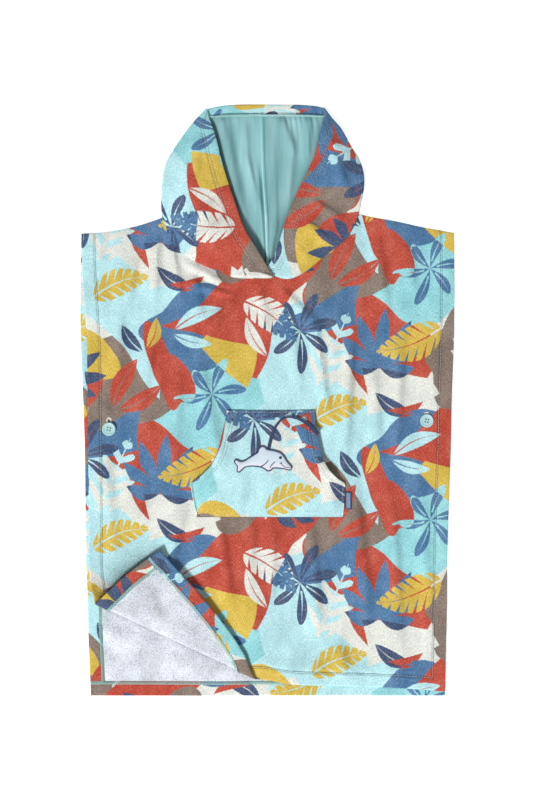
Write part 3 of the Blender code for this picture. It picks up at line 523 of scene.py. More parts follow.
def stitch_run(line, normal, length, pitch, lift):
    """Stitches along a line: each rises out of the cloth as a sine, for its length, and goes in."""
    run = run_of(line)
    starts = np.arange(pitch * STITCH_START, run[-1] - length, pitch)
    t = np.linspace(0, 1, len(STITCH_TAPER))
    at = starts[:, None] + t * length
    centre, up = along_run(at, run, line), along_run(at, run, normal)
    centre += up * (lift * ((1 + STITCH_DIP) * np.sin(math.pi * t) - STITCH_DIP))[:, None]
    return centre, up


def overlock_run(line, normal, across, width, pitch, lift, drop=0.0):
    """Serging along a raw edge: threads that cross it, each slanted and bowed over the edge as a
    cosine, with the far end lower by the drop."""
    run = run_of(line)
    at = np.arange(pitch / 2, run[-1], pitch)
    spread = np.linspace(-0.5, 0.5, len(STITCH_TAPER))
    at = at[:, None] + spread * pitch * SERGE_SLANT
    centre, up = along_run(at, run, line), along_run(at, run, normal)
    centre += along_run(at, run, across) * (spread * width)[:, None]
    bow = np.cos(math.pi * spread * SERGE_BOW)
    centre += up * (lift * bow - drop * smoothstep(0, 0.5, spread))[:, None]
    return centre, up


def sew(name, runs, radius, material):
    """All the stitches of these runs as one piece."""
    centre = np.concatenate([run[0] for run in runs])
    up = np.concatenate([run[1] for run in runs])
    return thread_mesh(name, centre, up, radius * STITCH_TAPER, material)


# ---- node helpers


def linear(red, green, blue):
    """A display colour from 0 to 255 as a linear one."""
    value = np.array([red, green, blue]) / 255
    low, high = value / 12.92, ((value + 0.055) / 1.055) ** 2.4
    return (*np.where(value <= 0.04045, low, high).tolist(), 1.0)


class Nodes:
    """Short words for adding nodes to one tree. Inputs are plain values, sockets or Numbers."""

    def __init__(self, tree):
        self.tree = tree

    def feed(self, socket, value):
        if isinstance(value, Number):
            value = value.socket
        if isinstance(value, bpy.types.NodeSocket):
            self.tree.links.new(value, socket)
        else:
            socket.default_value = value

    def add(self, kind, inputs=None, **settings):
        """A new node; inputs go by their names or numbers, settings by their names."""
        node = self.tree.nodes.new(kind)
        for name, value in settings.items():
            setattr(node, name, value)
        for key, value in (inputs or {}).items():
            self.feed(node.inputs[key], value)
        return node

    def math(self, operation, *values):
        node = self.add("ShaderNodeMath", operation=operation)
        for socket, value in zip(node.inputs, values):
            self.feed(socket, value)
        return Number(self, node.outputs[0])

    def number(self, socket):
        return Number(self, socket)

    def mix(self, factor, first, second):
        """The colour that lies between two by a factor from 0 to 1."""
        node = self.add("ShaderNodeMix", data_type="RGBA")
        for key, value in (("Factor_Float", factor), ("A_Color", first), ("B_Color", second)):
            socket = next(s for s in node.inputs if s.identifier == key)
            self.feed(socket, value)
        return next(s for s in node.outputs if s.identifier == "Result_Color")

    def split(self, vector):
        node = self.add("ShaderNodeSeparateXYZ", {0: vector})
        return [Number(self, socket) for socket in node.outputs]

    def vector(self, operation, *values):
        node = self.add("ShaderNodeVectorMath", operation=operation)
        for socket, value in zip(node.inputs, values):
            self.feed(socket, value)
        return node.outputs[0]

    def scaled(self, vector, factor):
        return self.add("ShaderNodeVectorMath", {0: vector, "Scale": factor}, operation="SCALE").outputs[0]

    def noise(self, vector, scale, detail=2.0, roughness=0.5):
        """Noise from 0 to 1, with this many waves to a unit of the vector."""
        inputs = {"Vector": vector, "Scale": scale, "Detail": detail, "Roughness": roughness}
        return Number(self, self.add("ShaderNodeTexNoise", inputs).outputs[0])

    def attribute(self, name, output):
        return self.add("ShaderNodeAttribute", attribute_name=name).outputs[output]

    def use(self, group, **inputs):
        """The outputs of a node group with these inputs."""
        node = self.tree.nodes.new("ShaderNodeGroup")
        node.node_tree = group
        for name, value in inputs.items():
            self.feed(node.inputs[name], value)
        return node.outputs


class Number:
    """A number that a node puts out; arithmetic on it adds Math nodes."""

    def __init__(self, nodes, socket):
        self.nodes = nodes
        self.socket = socket

    def __add__(self, other):
        return self.nodes.math("ADD", self, other)

    __radd__ = __add__

    def __sub__(self, other):
        return self.nodes.math("SUBTRACT", self, other)

    def __rsub__(self, other):
        return self.nodes.math("SUBTRACT", other, self)

    def __mul__(self, other):
        return self.nodes.math("MULTIPLY", self, other)

    __rmul__ = __mul__

    def __truediv__(self, other):
        return self.nodes.math("DIVIDE", self, other)

    def __pow__(self, other):
        return self.nodes.math("POWER", self, other)

    def apply(self, operation, *others):
        return self.nodes.math(operation, self, *others)

    def sine(self):
        return self.apply("SINE")

    def cosine(self):
        return self.apply("COSINE")

    def size(self):
        return self.apply("ABSOLUTE")

    def between(self, low=0.0, high=1.0):
        return self.apply("MAXIMUM", low).apply("MINIMUM", high)


def new_group(name, inputs, outputs):
    """A shader node group with named inputs, each with its kind's default, and named outputs."""
    tree = bpy.data.node_groups.new(name, "ShaderNodeTree")
    kinds = {"number": "NodeSocketFloat", "vector": "NodeSocketVector", "colour": "NodeSocketColor"}
    for socket, kind in inputs.items():
        tree.interface.new_socket(socket, in_out="INPUT", socket_type=kinds[kind])
    for socket, kind in outputs.items():
        tree.interface.new_socket(socket, in_out="OUTPUT", socket_type=kinds[kind])
    nodes = Nodes(tree)
    return nodes, nodes.add("NodeGroupInput").outputs, nodes.add("NodeGroupOutput").inputs


# ---- the print

REPEAT_X = 292.0  # width of the print's repeat
REPEAT_Y = 336.0  # height of it; each next column starts half of it higher
PRINT_EDGE = 0.9  # over which one colour meets the next

COLOURS = {
    "cream": linear(227, 230, 222),
    "aqua": linear(184, 231, 237),
    "turquoise": linear(148, 216, 222),
    "coral": linear(190, 68, 48),
    "taupe": linear(132, 115, 104),
    "mustard": linear(215, 184, 69),
    "blue": linear(70, 118, 162),
    "navy": linear(56, 77, 114),
}
DEEP = {"coral", "taupe", "blue", "navy", "mustard"}  # where motifs take their second colour
OUTSIDE = 99  # takes what is beyond a leaf's end out of its mask

# The ground: shape, colour, x, y, turn in degrees, radius, stretch, wave, phase
PATCHES = [
    ("patch", "aqua", 38, 62, 24, 74, 1.30, 0.20, 0.4),
    ("facet", "turquoise", 214, 168, 18, 54, 1.30, 0.22, 0.7),
    ("patch", "coral", 148, 74, -38, 64, 1.32, 0.26, 2.1),
    ("patch", "taupe", 104, 188, 32, 54, 1.55, 0.24, 4.0),
    ("patch", "mustard", 26, 246, -24, 44, 1.50, 0.28, 3.1),
    ("facet", "aqua", 112, 292, -30, 48, 1.40, 0.20, 2.4),
    ("patch", "blue", 186, 262, 18, 44, 1.60, 0.25, 5.2),
    ("facet", "coral", 262, 288, 52, 44, 1.50, 0.26, 4.1),
    ("patch", "taupe", 252, 62, 70, 40, 1.50, 0.26, 1.1),
    ("facet", "cream", 176, 14, 12, 22, 2.10, 0.30, 3.3),
    ("patch", "coral", 16, 152, 58, 34, 1.70, 0.28, 1.7),
    ("facet", "blue", 84, 116, 24, 20, 2.00, 0.30, 5.0),
    ("patch", "coral", 160, 206, 104, 24, 2.10, 0.30, 0.2),
    ("facet", "mustard", 236, 232, -30, 17, 2.20, 0.30, 1.9),
]

# Motifs over it: shape, colour on a pale ground, colour on a deep one, x, y, turn, length, width, more
MOTIFS = [
    ("frond", "cream", "aqua", 66, 20, 66, 104, 30, 21.0),
    ("flower", "navy", "navy", 44, 92, 14, 50, 9.5, 0.898),
    ("blade", "coral", "coral", 84, 158, 62, 74, 12, 4.0),
    ("blade", "coral", "coral", 92, 154, 30, 68, 11, -5.0),
    ("spray", "navy", "blue", 150, 44, 84, 76, 9.0, 0.50),
    ("split", "mustard", "mustard", 232, 96, 200, 92, 24, 13.0),
    ("flower", "blue", "turquoise", 218, 176, 8, 46, 9.0, 1.047),
    ("blade", "cream", "aqua", 168, 262, 24, 70, 10, 6.0),
    ("blade", "aqua", "aqua", 166, 256, -14, 54, 8, -4.0),
    ("frond", "turquoise", "cream", 276, 20, 96, 96, 26, 19.0),
    ("spray", "navy", "navy", 16, 196, 34, 62, 8.0, 0.52),
    ("split", "blue", "cream", 262, 300, -38, 88, 21, 12.0),
    ("blade", "navy", "navy", 126, 232, 128, 46, 9, 4.0),
    ("blade", "navy", "mustard", 132, 236, 74, 44, 8, -4.0),
    ("split", "mustard", "turquoise", 60, 306, 20, 80, 19, 12.0),
    ("blade", "navy", "coral", 196, 316, 150, 60, 10, 6.0),
    ("blade", "mustard", "cream", 292, 226, 118, 60, 9, 5.0),
]


def print_edge(distance):
    """From 0 to 1 across an outline, where the distance is what is left to it from inside."""
    return (distance * (1 / PRINT_EDGE) + 0.5).between()


def repeat_group():
    """A point's place in the nearest repeat of a motif: less the motif's centre, less a whole number
    of columns, and less a whole number of rows after half a row for each column; then turned."""
    nodes, get, put = new_group("print_repeat", {"Position": "vector", "Centre": "vector",
                                                 "Turn": "number"}, {"X": "number", "Y": "number"})
    x, y, _ = nodes.split(nodes.vector("SUBTRACT", get["Position"], get["Centre"]))
    column = (x / REPEAT_X).apply("ROUND")
    x = x - column * REPEAT_X
    y = y - column * (REPEAT_Y / 2)
    y = y - (y / REPEAT_Y).apply("ROUND") * REPEAT_Y
    cosine = nodes.math("COSINE", get["Turn"])
    sine = nodes.math("SINE", get["Turn"])
    nodes.feed(put["X"], x * cosine + y * sine)
    nodes.feed(put["Y"], y * cosine - x * sine)
    return nodes.tree


def motif_group(name, repeat, sizes):
    """Starts a motif's group: its inputs, and a point's place from the motif's own centre."""
    inputs = {"Position": "vector", "Centre": "vector", "Turn": "number"}
    nodes, get, put = new_group(name, {**inputs, **dict.fromkeys(sizes, "number")}, {"Mask": "number"})
    place = nodes.use(repeat, Position=get["Position"], Centre=get["Centre"], Turn=get["Turn"])
    x, y = (nodes.number(place[key]) for key in ("X", "Y"))
    return nodes, {key: nodes.number(get[key]) for key in sizes}, put["Mask"], x, y


def patch_group(repeat):
    """A patch of ground: the distance from the centre, with X shortened by the stretch, is less than
    a radius that waves twice, three times and five times round."""
    nodes, size, put, x, y = motif_group("print_patch", repeat, ["Radius", "Stretch", "Wave", "Phase"])
    x = x / size["Stretch"]
    around = nodes.math("ARCTAN2", y, x)
    away = (x * x + y * y).apply("SQRT")
    twice = (around * 2 + size["Phase"]).sine()
    thrice = (around * 3 + size["Phase"] * 2.3).sine() * 0.7
    fast = (around * 5 - size["Phase"]).sine() * 0.3
    reach = size["Radius"] * ((twice + thrice + fast) * size["Wave"] + 1)
    nodes.feed(put, print_edge(reach - away))
    return nodes.tree


def facet_group(repeat):
    """A patch with four long sides: the point is inside all of four slanting lines, which stand at
    the radius, or at the stretched radius, and bow a little in waves."""
    nodes, size, put, x, y = motif_group("print_facet", repeat, ["Radius", "Stretch", "Wave", "Phase"])
    inside = None
    for side in range(4):
        slant = size["Phase"] * (0.9 + 0.37 * side)
        across = slant.sine() * 0.35 + side * math.pi / 2
        cosine, sine = across.cosine(), across.sine()
        along = y * cosine - x * sine
        bow = (along * 0.045 + size["Phase"] * (side + 1)).sine() * size["Wave"]
        reach = size["Radius"] * (bow * 0.5 + 1)
        if side % 2 == 0:
            reach = reach * size["Stretch"]
        left = reach - (x * cosine + y * sine)
        inside = left if inside is None else inside.apply("MINIMUM", left)
    nodes.feed(put, print_edge(inside))
    return nodes.tree


def blade_group(repeat):
    """One leaf along X: its half width is four times u times (1 - u), where u is the part of its
    length, about a middle that bends by a sine. A thin rib is left out of it."""
    nodes, size, put, x, y = motif_group("print_blade", repeat, ["Length", "Width", "Bend"])
    u = x / size["Length"]
    across = (y - (u * math.pi).sine() * size["Bend"]).size()
    half = u * (1 - u) * size["Width"] * 4
    rib = (1 - u) * 1.3
    nodes.feed(put, print_edge(half - across) * (1 - print_edge(rib - across) * 0.9))
    return nodes.tree


def spray_group(repeat):
    """A fan of seven leaves: the angle is brought back by whole steps to the nearest leaf, and the
    outer leaves are shorter and bend outward."""
    nodes, size, put, x, y = motif_group("print_spray", repeat, ["Length", "Width", "Step"])
    angle = nodes.math("ARCTAN2", y, x)
    leaf = (angle / size["Step"]).apply("ROUND").between(-3.0, 3.0)
    away = (x * x + y * y).apply("SQRT")
    rest = angle - leaf * size["Step"]
    length = size["Length"] * (1 - leaf * leaf * 0.045)
    u = away * rest.cosine() / length
    bend = (u * math.pi).sine() * leaf * -1.6
    across = (away * rest.sine() + bend).size()
    half = u * (1.04 - u) * size["Width"] * 4
    nodes.feed(put, print_edge(half - across))
    return nodes.tree


def flower_group(repeat):
    """A rosette: the angle is brought back by whole steps to the nearest petal, which is widest at
    two thirds of its length and has a thin line left out of its middle."""
    nodes, size, put, x, y = motif_group("print_flower", repeat, ["Length", "Width", "Step"])
    angle = nodes.math("ARCTAN2", y, x)
    petal = (angle / size["Step"]).apply("ROUND")
    away = (x * x + y * y).apply("SQRT")
    rest = angle - petal * size["Step"]
    length = size["Length"] * ((petal * 2.4).sine() * 0.13 + 1)
    u = away * rest.cosine() / length
    across = (away * rest.sine() - (u * math.pi).sine() * 2.5).size()
    half = (u ** 1.3) * (1.02 - u).apply("MAXIMUM", 0.0) ** 0.7 * size["Width"] * 2.6
    line = print_edge((0.82 - u) * 2.0 - across) * print_edge((u - 0.2) * 60)
    nodes.feed(put, print_edge(half - across + (1 - u).apply("MINIMUM", 0.0) * OUTSIDE) * (1 - line))
    return nodes.tree


def frond_group(repeat):
    """A feathered leaf along X: leaflets repeat at a pitch, slant forward, have blunt ends, and are as
    long as a sine of the place along the stem."""
    nodes, size, put, x, y = motif_group("print_frond", repeat, ["Length", "Width", "Pitch"])
    u = x / size["Length"]
    away = y.size()
    reach = (u * 2.7 + 0.35).sine() * size["Width"]
    inside = u.between()
    share = (away / reach.apply("MAXIMUM", 1.0)).apply("MINIMUM", 1.0)
    slanted = (x - away * 0.8) / size["Pitch"]
    middle = (slanted.apply("FRACT") - 0.5).size() * size["Pitch"]
    half = (1 - share ** 5) * size["Pitch"] * (share * 0.12 + 0.22)
    leaflets = print_edge(half - middle) * print_edge(reach - away) * print_edge(u * (1 - u) * 200)
    stem = print_edge((1 - inside) * 2.0 + 0.5 - away) * print_edge(u * (1.02 - u) * 200)
    nodes.feed(put, leaflets.apply("MAXIMUM", stem))
    return nodes.tree


def split_group(repeat):
    """A broad leaf along X, widest a third of the way, with slits that open toward its edge, one to
    a pitch, and a thin rib."""
    nodes, size, put, x, y = motif_group("print_split_leaf", repeat, ["Length", "Width", "Pitch"])
    along = x / size["Length"]
    outside = along.apply("MINIMUM", 0.0) + (1 - along).apply("MINIMUM", 0.0)
    u = along.between()
    across = (y - (u * math.pi).sine() * 7.0).size()
    half = (u ** 0.6) * ((1 - u) ** 0.9) * size["Width"] * 2.7
    share = across / half.apply("MAXIMUM", 1.0)
    slanted = (x - across * 0.7) / size["Pitch"]
    middle = (slanted.apply("FRACT") - 0.5).size() * size["Pitch"]
    slit = print_edge((share - 0.2) * size["Pitch"] * 0.24 - middle)
    rib = print_edge((1 - u) * 1.4 - across)
    nodes.feed(put, print_edge(half - across + outside * OUTSIDE) * (1 - slit) * (1 - rib))
    return nodes.tree


def print_group():
    """The whole print: cream cloth, patches of ground, then leaves whose colour changes with the
    ground under them."""
    repeat = repeat_group()
    patches = {"patch": patch_group(repeat), "facet": facet_group(repeat)}
    motifs = {"blade": (blade_group(repeat), "Bend"), "spray": (spray_group(repeat), "Step"),
              "flower": (flower_group(repeat), "Step"), "frond": (frond_group(repeat), "Pitch"),
              "split": (split_group(repeat), "Pitch")}
    nodes, get, put = new_group("tropical_print", {"Position": "vector"}, {"Color": "colour"})
    colour, deep = COLOURS["cream"], 0.0
    for shape, shade, x, y, turn, radius, stretch, wave, phase in PATCHES:
        mask = nodes.use(patches[shape], Position=get["Position"], Centre=(x, y, 0),
                         Turn=math.radians(turn), Radius=radius, Stretch=stretch, Wave=wave,
                         Phase=phase)["Mask"]
        mask = nodes.number(mask)
        colour = nodes.mix(mask, colour, COLOURS[shade])
        deep = deep * (1 - mask) + mask * float(shade in DEEP)
    for shape, pale, dark, x, y, turn, length, width, more in MOTIFS:
        motif, last = motifs[shape]
        mask = nodes.use(motif, Position=get["Position"], Centre=(x, y, 0), Turn=math.radians(turn),
                         Length=length, Width=width, **{last: more})["Mask"]
        shade = COLOURS[pale] if pale == dark else nodes.mix(deep, COLOURS[pale], COLOURS[dark])
        colour = nodes.mix(mask, colour, shade)
    nodes.feed(put["Color"], colour)
    return nodes.tree


# ---- shared effects


def pile_group():
    """Cropped pile: fine noise, drawn out along the cloth, as a height and as flecks."""
    nodes, get, put = new_group("cropped_pile", {"Position": "vector", "Size": "number"},
                                {"Height": "number", "Flecks": "number"})
    drawn = nodes.vector("MULTIPLY", get["Position"], (1.0, 0.4, 1.0))
    fine = nodes.scaled(drawn, nodes.math("DIVIDE", 1.0, get["Size"]))
    grain = nodes.noise(fine, scale=1.0, detail=3.0, roughness=0.62)
    coarse = nodes.noise(get["Position"], scale=0.05)
    nodes.feed(put["Height"], grain + coarse * 1.5)
    nodes.feed(put["Flecks"], ((grain - 0.5) * 4.5 + 0.5).between())
    return nodes.tree


def weave_group():
    """Plain weave: two sets of waves that cross, each lifted where the other one dips."""
    nodes, get, put = new_group("plain_weave", {"Position": "vector", "Pitch": "number"},
                                {"Height": "number", "Slub": "number"})
    x, y, _ = nodes.split(nodes.scaled(get["Position"], nodes.math("DIVIDE", 2 * math.pi, get["Pitch"])))
    height = x.sine() * (y * 0.5).cosine() + y.sine() * 0.5
    streaks = nodes.vector("MULTIPLY", get["Position"], (0.55, 0.03, 0.1))
    slub = nodes.noise(streaks, scale=1.0, detail=3.0, roughness=0.6)
    nodes.feed(put["Height"], height + slub)
    nodes.feed(put["Slub"], slub)
    return nodes.tree


def thread_group():
    """Twisted thread: slanted bands across the place along three axes, and a little noise."""
    nodes, get, put = new_group("twisted_thread", {"Position": "vector"}, {"Height": "number",
                                                                          "Shade": "number"})
    x, y, z = nodes.split(get["Position"])
    twist = ((x + y + z) * 9.0).sine()
    grain = nodes.noise(get["Position"], scale=1.3)
    nodes.feed(put["Height"], twist * 0.5 + grain)
    nodes.feed(put["Shade"], grain)
    return nodes.tree


def new_material(name, roughness, sheen=0.0):
    """A material with its shader, set with the numbers that are even all over it, and the place of
    a point on its object in millimetres."""
    material = bpy.data.materials.new(name)
    material.use_nodes = True
    nodes = Nodes(material.node_tree)
    shader = material.node_tree.nodes["Principled BSDF"]
    shader.inputs["Roughness"].default_value = roughness
    shader.inputs["Sheen Weight"].default_value = sheen
    shader.inputs["Sheen Roughness"].default_value = 0.55
    place = nodes.add("ShaderNodeTexCoord").outputs["Object"]
    MATERIALS[name] = material
    return nodes, shader, nodes.scaled(place, 1 / MM)


def finish(nodes, shader, colour, height, distance, strength):
    """Gives a shader its colour, and a height from about 0 to 1 as a bump of so many millimetres."""
    nodes.feed(shader.inputs["Base Color"], colour)
    inputs = {"Height": height, "Distance": distance * MM, "Strength": strength}
    nodes.feed(shader.inputs["Normal"], nodes.add("ShaderNodeBump", inputs).outputs[0])


MATERIALS = {}
PILE = pile_group()
WEAVE = weave_group()
THREAD = thread_group()
PRINT = print_group()


FUZZ = 2.4  # how far it carries the print's edges
# how much the pressing and painted light takes off each cloth's colour: painted shade darkens, a painted
# highlight lightens
PRESSING_AND_PAINTED_LIGHT_GAIN = {"velour": 0.32, "terry": 0.26, "lining": 0.5}


def make_velour():
    """The print with fuzzy edges, on cropped pile: paler on its flecks, darker in soft clouds and
    where stitches press it down, darker still where shade is painted and paler where a highlight is painted."""
    nodes, shader, _ = new_material("velour_print", roughness=0.92, sheen=0.03)
    cut = nodes.scaled(nodes.attribute("cut", "Vector"), 1 / MM)
    fuzz = nodes.noise(cut, scale=0.9).socket.node.outputs["Color"]
    away = nodes.scaled(nodes.vector("SUBTRACT", fuzz, (0.5, 0.5, 0.5)), FUZZ)
    print_colour = nodes.use(PRINT, Position=nodes.vector("ADD", cut, away))["Color"]
    pile = nodes.use(PILE, Position=cut, Size=1.15)
    flecks = nodes.number(pile["Flecks"])
    clouds = nodes.vector("MULTIPLY", cut, (1.0, 0.55, 1.0))
    tone = nodes.noise(clouds, scale=0.045, detail=4.0, roughness=0.65)
    pale = (flecks ** 2 * 0.08 + (0.5 - tone) * 0.2).apply("MAXIMUM", 0.0)
    light = nodes.mix(pale, print_colour, linear(250, 238, 222))
    # pressed pile and painted light, off the colour: painted shade in the stitch grooves, over the fold and
    # beside the turned corner, and a painted highlight and shadow line at the pocket's edges
    pressed = nodes.number(nodes.attribute("pressed", "Fac"))
    strength = 0.76 + flecks * 0.34 - (tone - 0.5) * 0.6 - pressed * PRESSING_AND_PAINTED_LIGHT_GAIN["velour"]
    colour = nodes.scaled(light, strength.apply("MAXIMUM", 0.1))
    finish(nodes, shader, colour, pile["Height"], distance=0.6, strength=0.4)


def make_terry():
    """Looped terry: cells that are high in their middle, with painted shade in the bluish or warmer hollows
    between them, and darker where stitches press it and where shade is painted.
    """
    nodes, shader, place = new_material("white_terry", roughness=0.95, sheen=0.2)
    cells = nodes.add("ShaderNodeTexVoronoi", {"Vector": place, "Scale": 0.6, "Randomness": 1.0})
    loops = 1 - nodes.number(cells.outputs["Distance"])
    fine = nodes.noise(place, scale=0.9, detail=3.0, roughness=0.6)
    height = loops * 0.8 + fine
    broad = nodes.noise(place, scale=0.035, detail=3.0) - 0.5
    depth = ((height - 0.5 + broad * 0.8) * 1.7).between()
    warm = ((nodes.noise(place, scale=0.4) - 0.5) * 4 + 0.5).between()
    # painted shade in the hollows between the loops, bluish or warmer
    hollow_painted_shade = nodes.mix(warm, linear(180, 198, 214), linear(208, 204, 202))
    white = nodes.mix(depth, hollow_painted_shade, linear(242, 245, 251))
    # pressed pile and painted shade, off the colour: on the fold's crest and in soft troughs
    pressed = nodes.number(nodes.attribute("pressed", "Fac"))
    strength = 1.0 + broad * 0.26 - pressed * PRESSING_AND_PAINTED_LIGHT_GAIN["terry"]
    shader.inputs["Diffuse Roughness"].default_value = 1.0
    finish(nodes, shader, nodes.scaled(white, strength), height, distance=1.2, strength=0.6)


def make_lining():
    """Thin plain weave, paler along its slubs, with painted sheen in long upright streaks, and painted
    light: shade under the hood's edges and beside the seam, a highlight on its ridge.
    """
    nodes, shader, place = new_material("teal_lining", roughness=0.72, sheen=0.1)
    weave = nodes.use(WEAVE, Position=place, Pitch=0.9)
    slub = nodes.number(weave["Slub"])
    # painted sheen: paler long upright streaks
    streaks = nodes.vector("MULTIPLY", place, (0.045, 0.008, 0.0))
    tone = slub * 0.8 + nodes.noise(streaks, scale=1.0, detail=1.0) * 2.0 - 0.95
    cloth = nodes.mix(tone.apply("MAXIMUM", 0.0), linear(112, 168, 172), linear(160, 206, 210))
    # painted light from lining_shade, off the colour
    pressed = nodes.number(nodes.attribute("pressed", "Fac"))
    colour = nodes.scaled(cloth, 1 - pressed * PRESSING_AND_PAINTED_LIGHT_GAIN["lining"])
    finish(nodes, shader, colour, weave["Height"], distance=0.1, strength=0.4)


def make_thread(name, dark, light):
    """Twisted thread, between two colours."""
    nodes, shader, place = new_material(name, roughness=0.6, sheen=0.1)
    thread = nodes.use(THREAD, Position=place)
    colour = nodes.mix(thread["Shade"], dark, light)
    finish(nodes, shader, colour, thread["Height"], distance=0.1, strength=0.6)


def make_woven(name, dark, light, pitch):
    """Woven trim, between two colours."""
    nodes, shader, place = new_material(name, roughness=0.6, sheen=0.15)
    weave = nodes.use(WEAVE, Position=place, Pitch=pitch)
    colour = nodes.mix(weave["Slub"], dark, light)
    finish(nodes, shader, colour, weave["Height"], distance=0.15, strength=0.7)


def make_felt():
    """The dolphin's short pile: pale blue, a little rosy toward the belly."""
    nodes, shader, place = new_material("charm_felt", roughness=0.85, sheen=0.25)
    pile = nodes.use(PILE, Position=place, Size=0.8)
    _, y, _ = nodes.split(place)
    belly = (y * -0.16 - 13.1).between()
    pale = nodes.mix(belly, linear(212, 228, 238), linear(226, 222, 232))
    flecks = nodes.number(pile["Flecks"])
    colour = nodes.mix((1 - flecks) * 0.25, pale, linear(168, 186, 204))
    finish(nodes, shader, colour, pile["Height"], distance=0.35, strength=0.7)


def make_button():
    """Moulded plastic: mint with a cloudy streak and fine wear that makes it duller."""
    nodes, shader, place = new_material("mint_button", roughness=0.3)
    cloud = nodes.noise(place, scale=0.16, detail=3.0)
    wear = nodes.noise(place, scale=1.6, detail=3.0)
    colour = nodes.mix(cloud, linear(156, 202, 206), linear(194, 228, 230))
    nodes.feed(shader.inputs["Roughness"], wear * 0.3 + 0.18)
    shader.inputs["Coat Weight"].default_value = 0.25
    finish(nodes, shader, colour, wear, distance=0.05, strength=0.3)


def make_floor():
    """A white table that glows, so that shadows on it stay faint."""
    nodes, shader, place = new_material("studio_floor", roughness=0.9)
    grain = nodes.noise(place, scale=0.02)
    white = nodes.mix(grain, linear(252, 252, 252), linear(254, 254, 254))
    nodes.feed(shader.inputs["Base Color"], white)
    nodes.feed(shader.inputs["Emission Color"], white)
    shader.inputs["Emission Strength"].default_value = 0.65


make_velour()
make_terry()
make_lining()
make_thread("pale_thread", linear(168, 190, 192), linear(236, 242, 240))
make_thread("cream_thread", linear(206, 206, 192), linear(244, 244, 236))
make_thread("teal_thread", linear(112, 184, 180), linear(204, 240, 232))
make_thread("mint_thread", linear(150, 214, 212), linear(206, 240, 238))
make_thread("navy_thread", linear(38, 48, 84), linear(66, 78, 118))
# near-black: the dolphin's eye, and the painted shade in the buttonholes and the button's holes
make_thread("eye_black_and_painted_shade", linear(16, 18, 24), linear(40, 42, 50))
make_woven("navy_ribbon", linear(30, 44, 80), linear(54, 70, 112), pitch=0.8)
make_woven("blue_label", linear(84, 112, 152), linear(136, 166, 200), pitch=0.9)
make_felt()
make_button()
make_floor()


# ---- the body's outline


def inward_at(roll_line, fraction, spec):
    """The way in at these shares of a roll line: square to it, but nearly level at its top end."""
    ahead = spaced(roll_line, np.clip(fraction + 0.01, 0, 1))
    behind = spaced(roll_line, np.clip(fraction - 0.01, 0, 1))
    along = unit(ahead - behind)
    inward = np.column_stack([-along[:, 1], along[:, 0]]) * spec["inward"]
    level = np.exp(-fraction / HOOD_CORNER)[:, None]
    return unit(inward * (1 - level) + np.array([spec["inward"], HOOD_CORNER_RISE]) * level)


def hood_lines(spec):
    """The whole roll line of a hood half, and the part of it that is the hood's side."""
    roll_line = smooth_dense(spec["side"] + spec["neck"])
    run = run_of(roll_line)
    return roll_line, run[CURVE_STEPS * (len(spec["side"]) - 1)] / run[-1]


def neck_line(spec):
    """The hood's lower edge, from the shoulder to where the fronts cross."""
    roll_line, share = hood_lines(spec)
    fraction = np.linspace(share, 1, 60)
    tail = table_interp(fraction, spec["tail"])[:, None]
    return spaced(roll_line, fraction) + inward_at(roll_line, fraction, spec) * tail


def back_row(start, middle, down, s):
    """A row of the hood's back leaf, from its roll to the middle seam. Its x goes there evenly, and
    its y as 1 - (1 - s) to a power, which is highest at the top and the bottom of the hood."""
    power = 1 + 3 * (1 - down) ** 6 + down**4
    x = start[..., 0] + (middle[..., 0] - start[..., 0]) * s
    y = start[..., 1] + (middle[..., 1] - start[..., 1]) * (1 - (1 - s) ** power)
    return np.stack([x, y], axis=-1)


def increasing(line):
    """The y of a line at any x, with its points' x kept from falling back."""
    x = np.maximum.accumulate(line[:, 0] + np.arange(len(line)) * 1e-6)
    return lambda at: np.interp(at, x, line[:, 1])


NECK_CROSSING = 4.0  # from the left neck line's end to where the right one takes over


def top_line(corner_left, corner_right, *neck):
    """A body panel's upper edge: a shoulder, the neck's lines from corner to corner, a shoulder."""
    return np.vstack([smooth_dense([*SHOULDER_LEFT[:-1], corner_left]), *neck,
                      smooth_dense([corner_right, *SHOULDER_RIGHT[::-1][1:]])])


def front_top_line():
    """The front's upper edge follows the hood's lower edges, up to where they cross."""
    left, right = neck_line(HOOD_LEFT), neck_line(HOOD_RIGHT)
    right = right[right[:, 0] > left[-1, 0] + NECK_CROSSING]
    return top_line(left[0], right[0], left[1:], right[::-1][:-1])


def back_top_line():
    """The back's upper edge follows the lowest rows of the hood's back leaves, under the hood."""
    left, right = neck_line(HOOD_LEFT)[0], neck_line(HOOD_RIGHT)[0]
    s = np.linspace(0, 1, 30)
    middle = np.array(HOOD_BACK_MIDDLE)
    neck_left = back_row(left, middle, 1.0, s) - [0, GAP]
    neck_right = back_row(right, middle, 1.0, s) - [0, GAP]
    return top_line(left, right, neck_left[1:], neck_right[::-1][1:-1])


def front_hem_at(x):
    """The height of the front's lower edge on the flat, along x."""
    return smooth_interp(x, FRONT_HEM_LINE)


def back_hem_at(x):
    """The same for the back's, which is straight."""
    return np.full_like(x, BOTTOM_Y)


BODY_WIDTH = 480.0  # about, for the number of a grid's columns
CHEST_RISE = 110.0  # about, for its upper rows
TOP_BAND = 5.0  # which holds the close rows at the upper edge


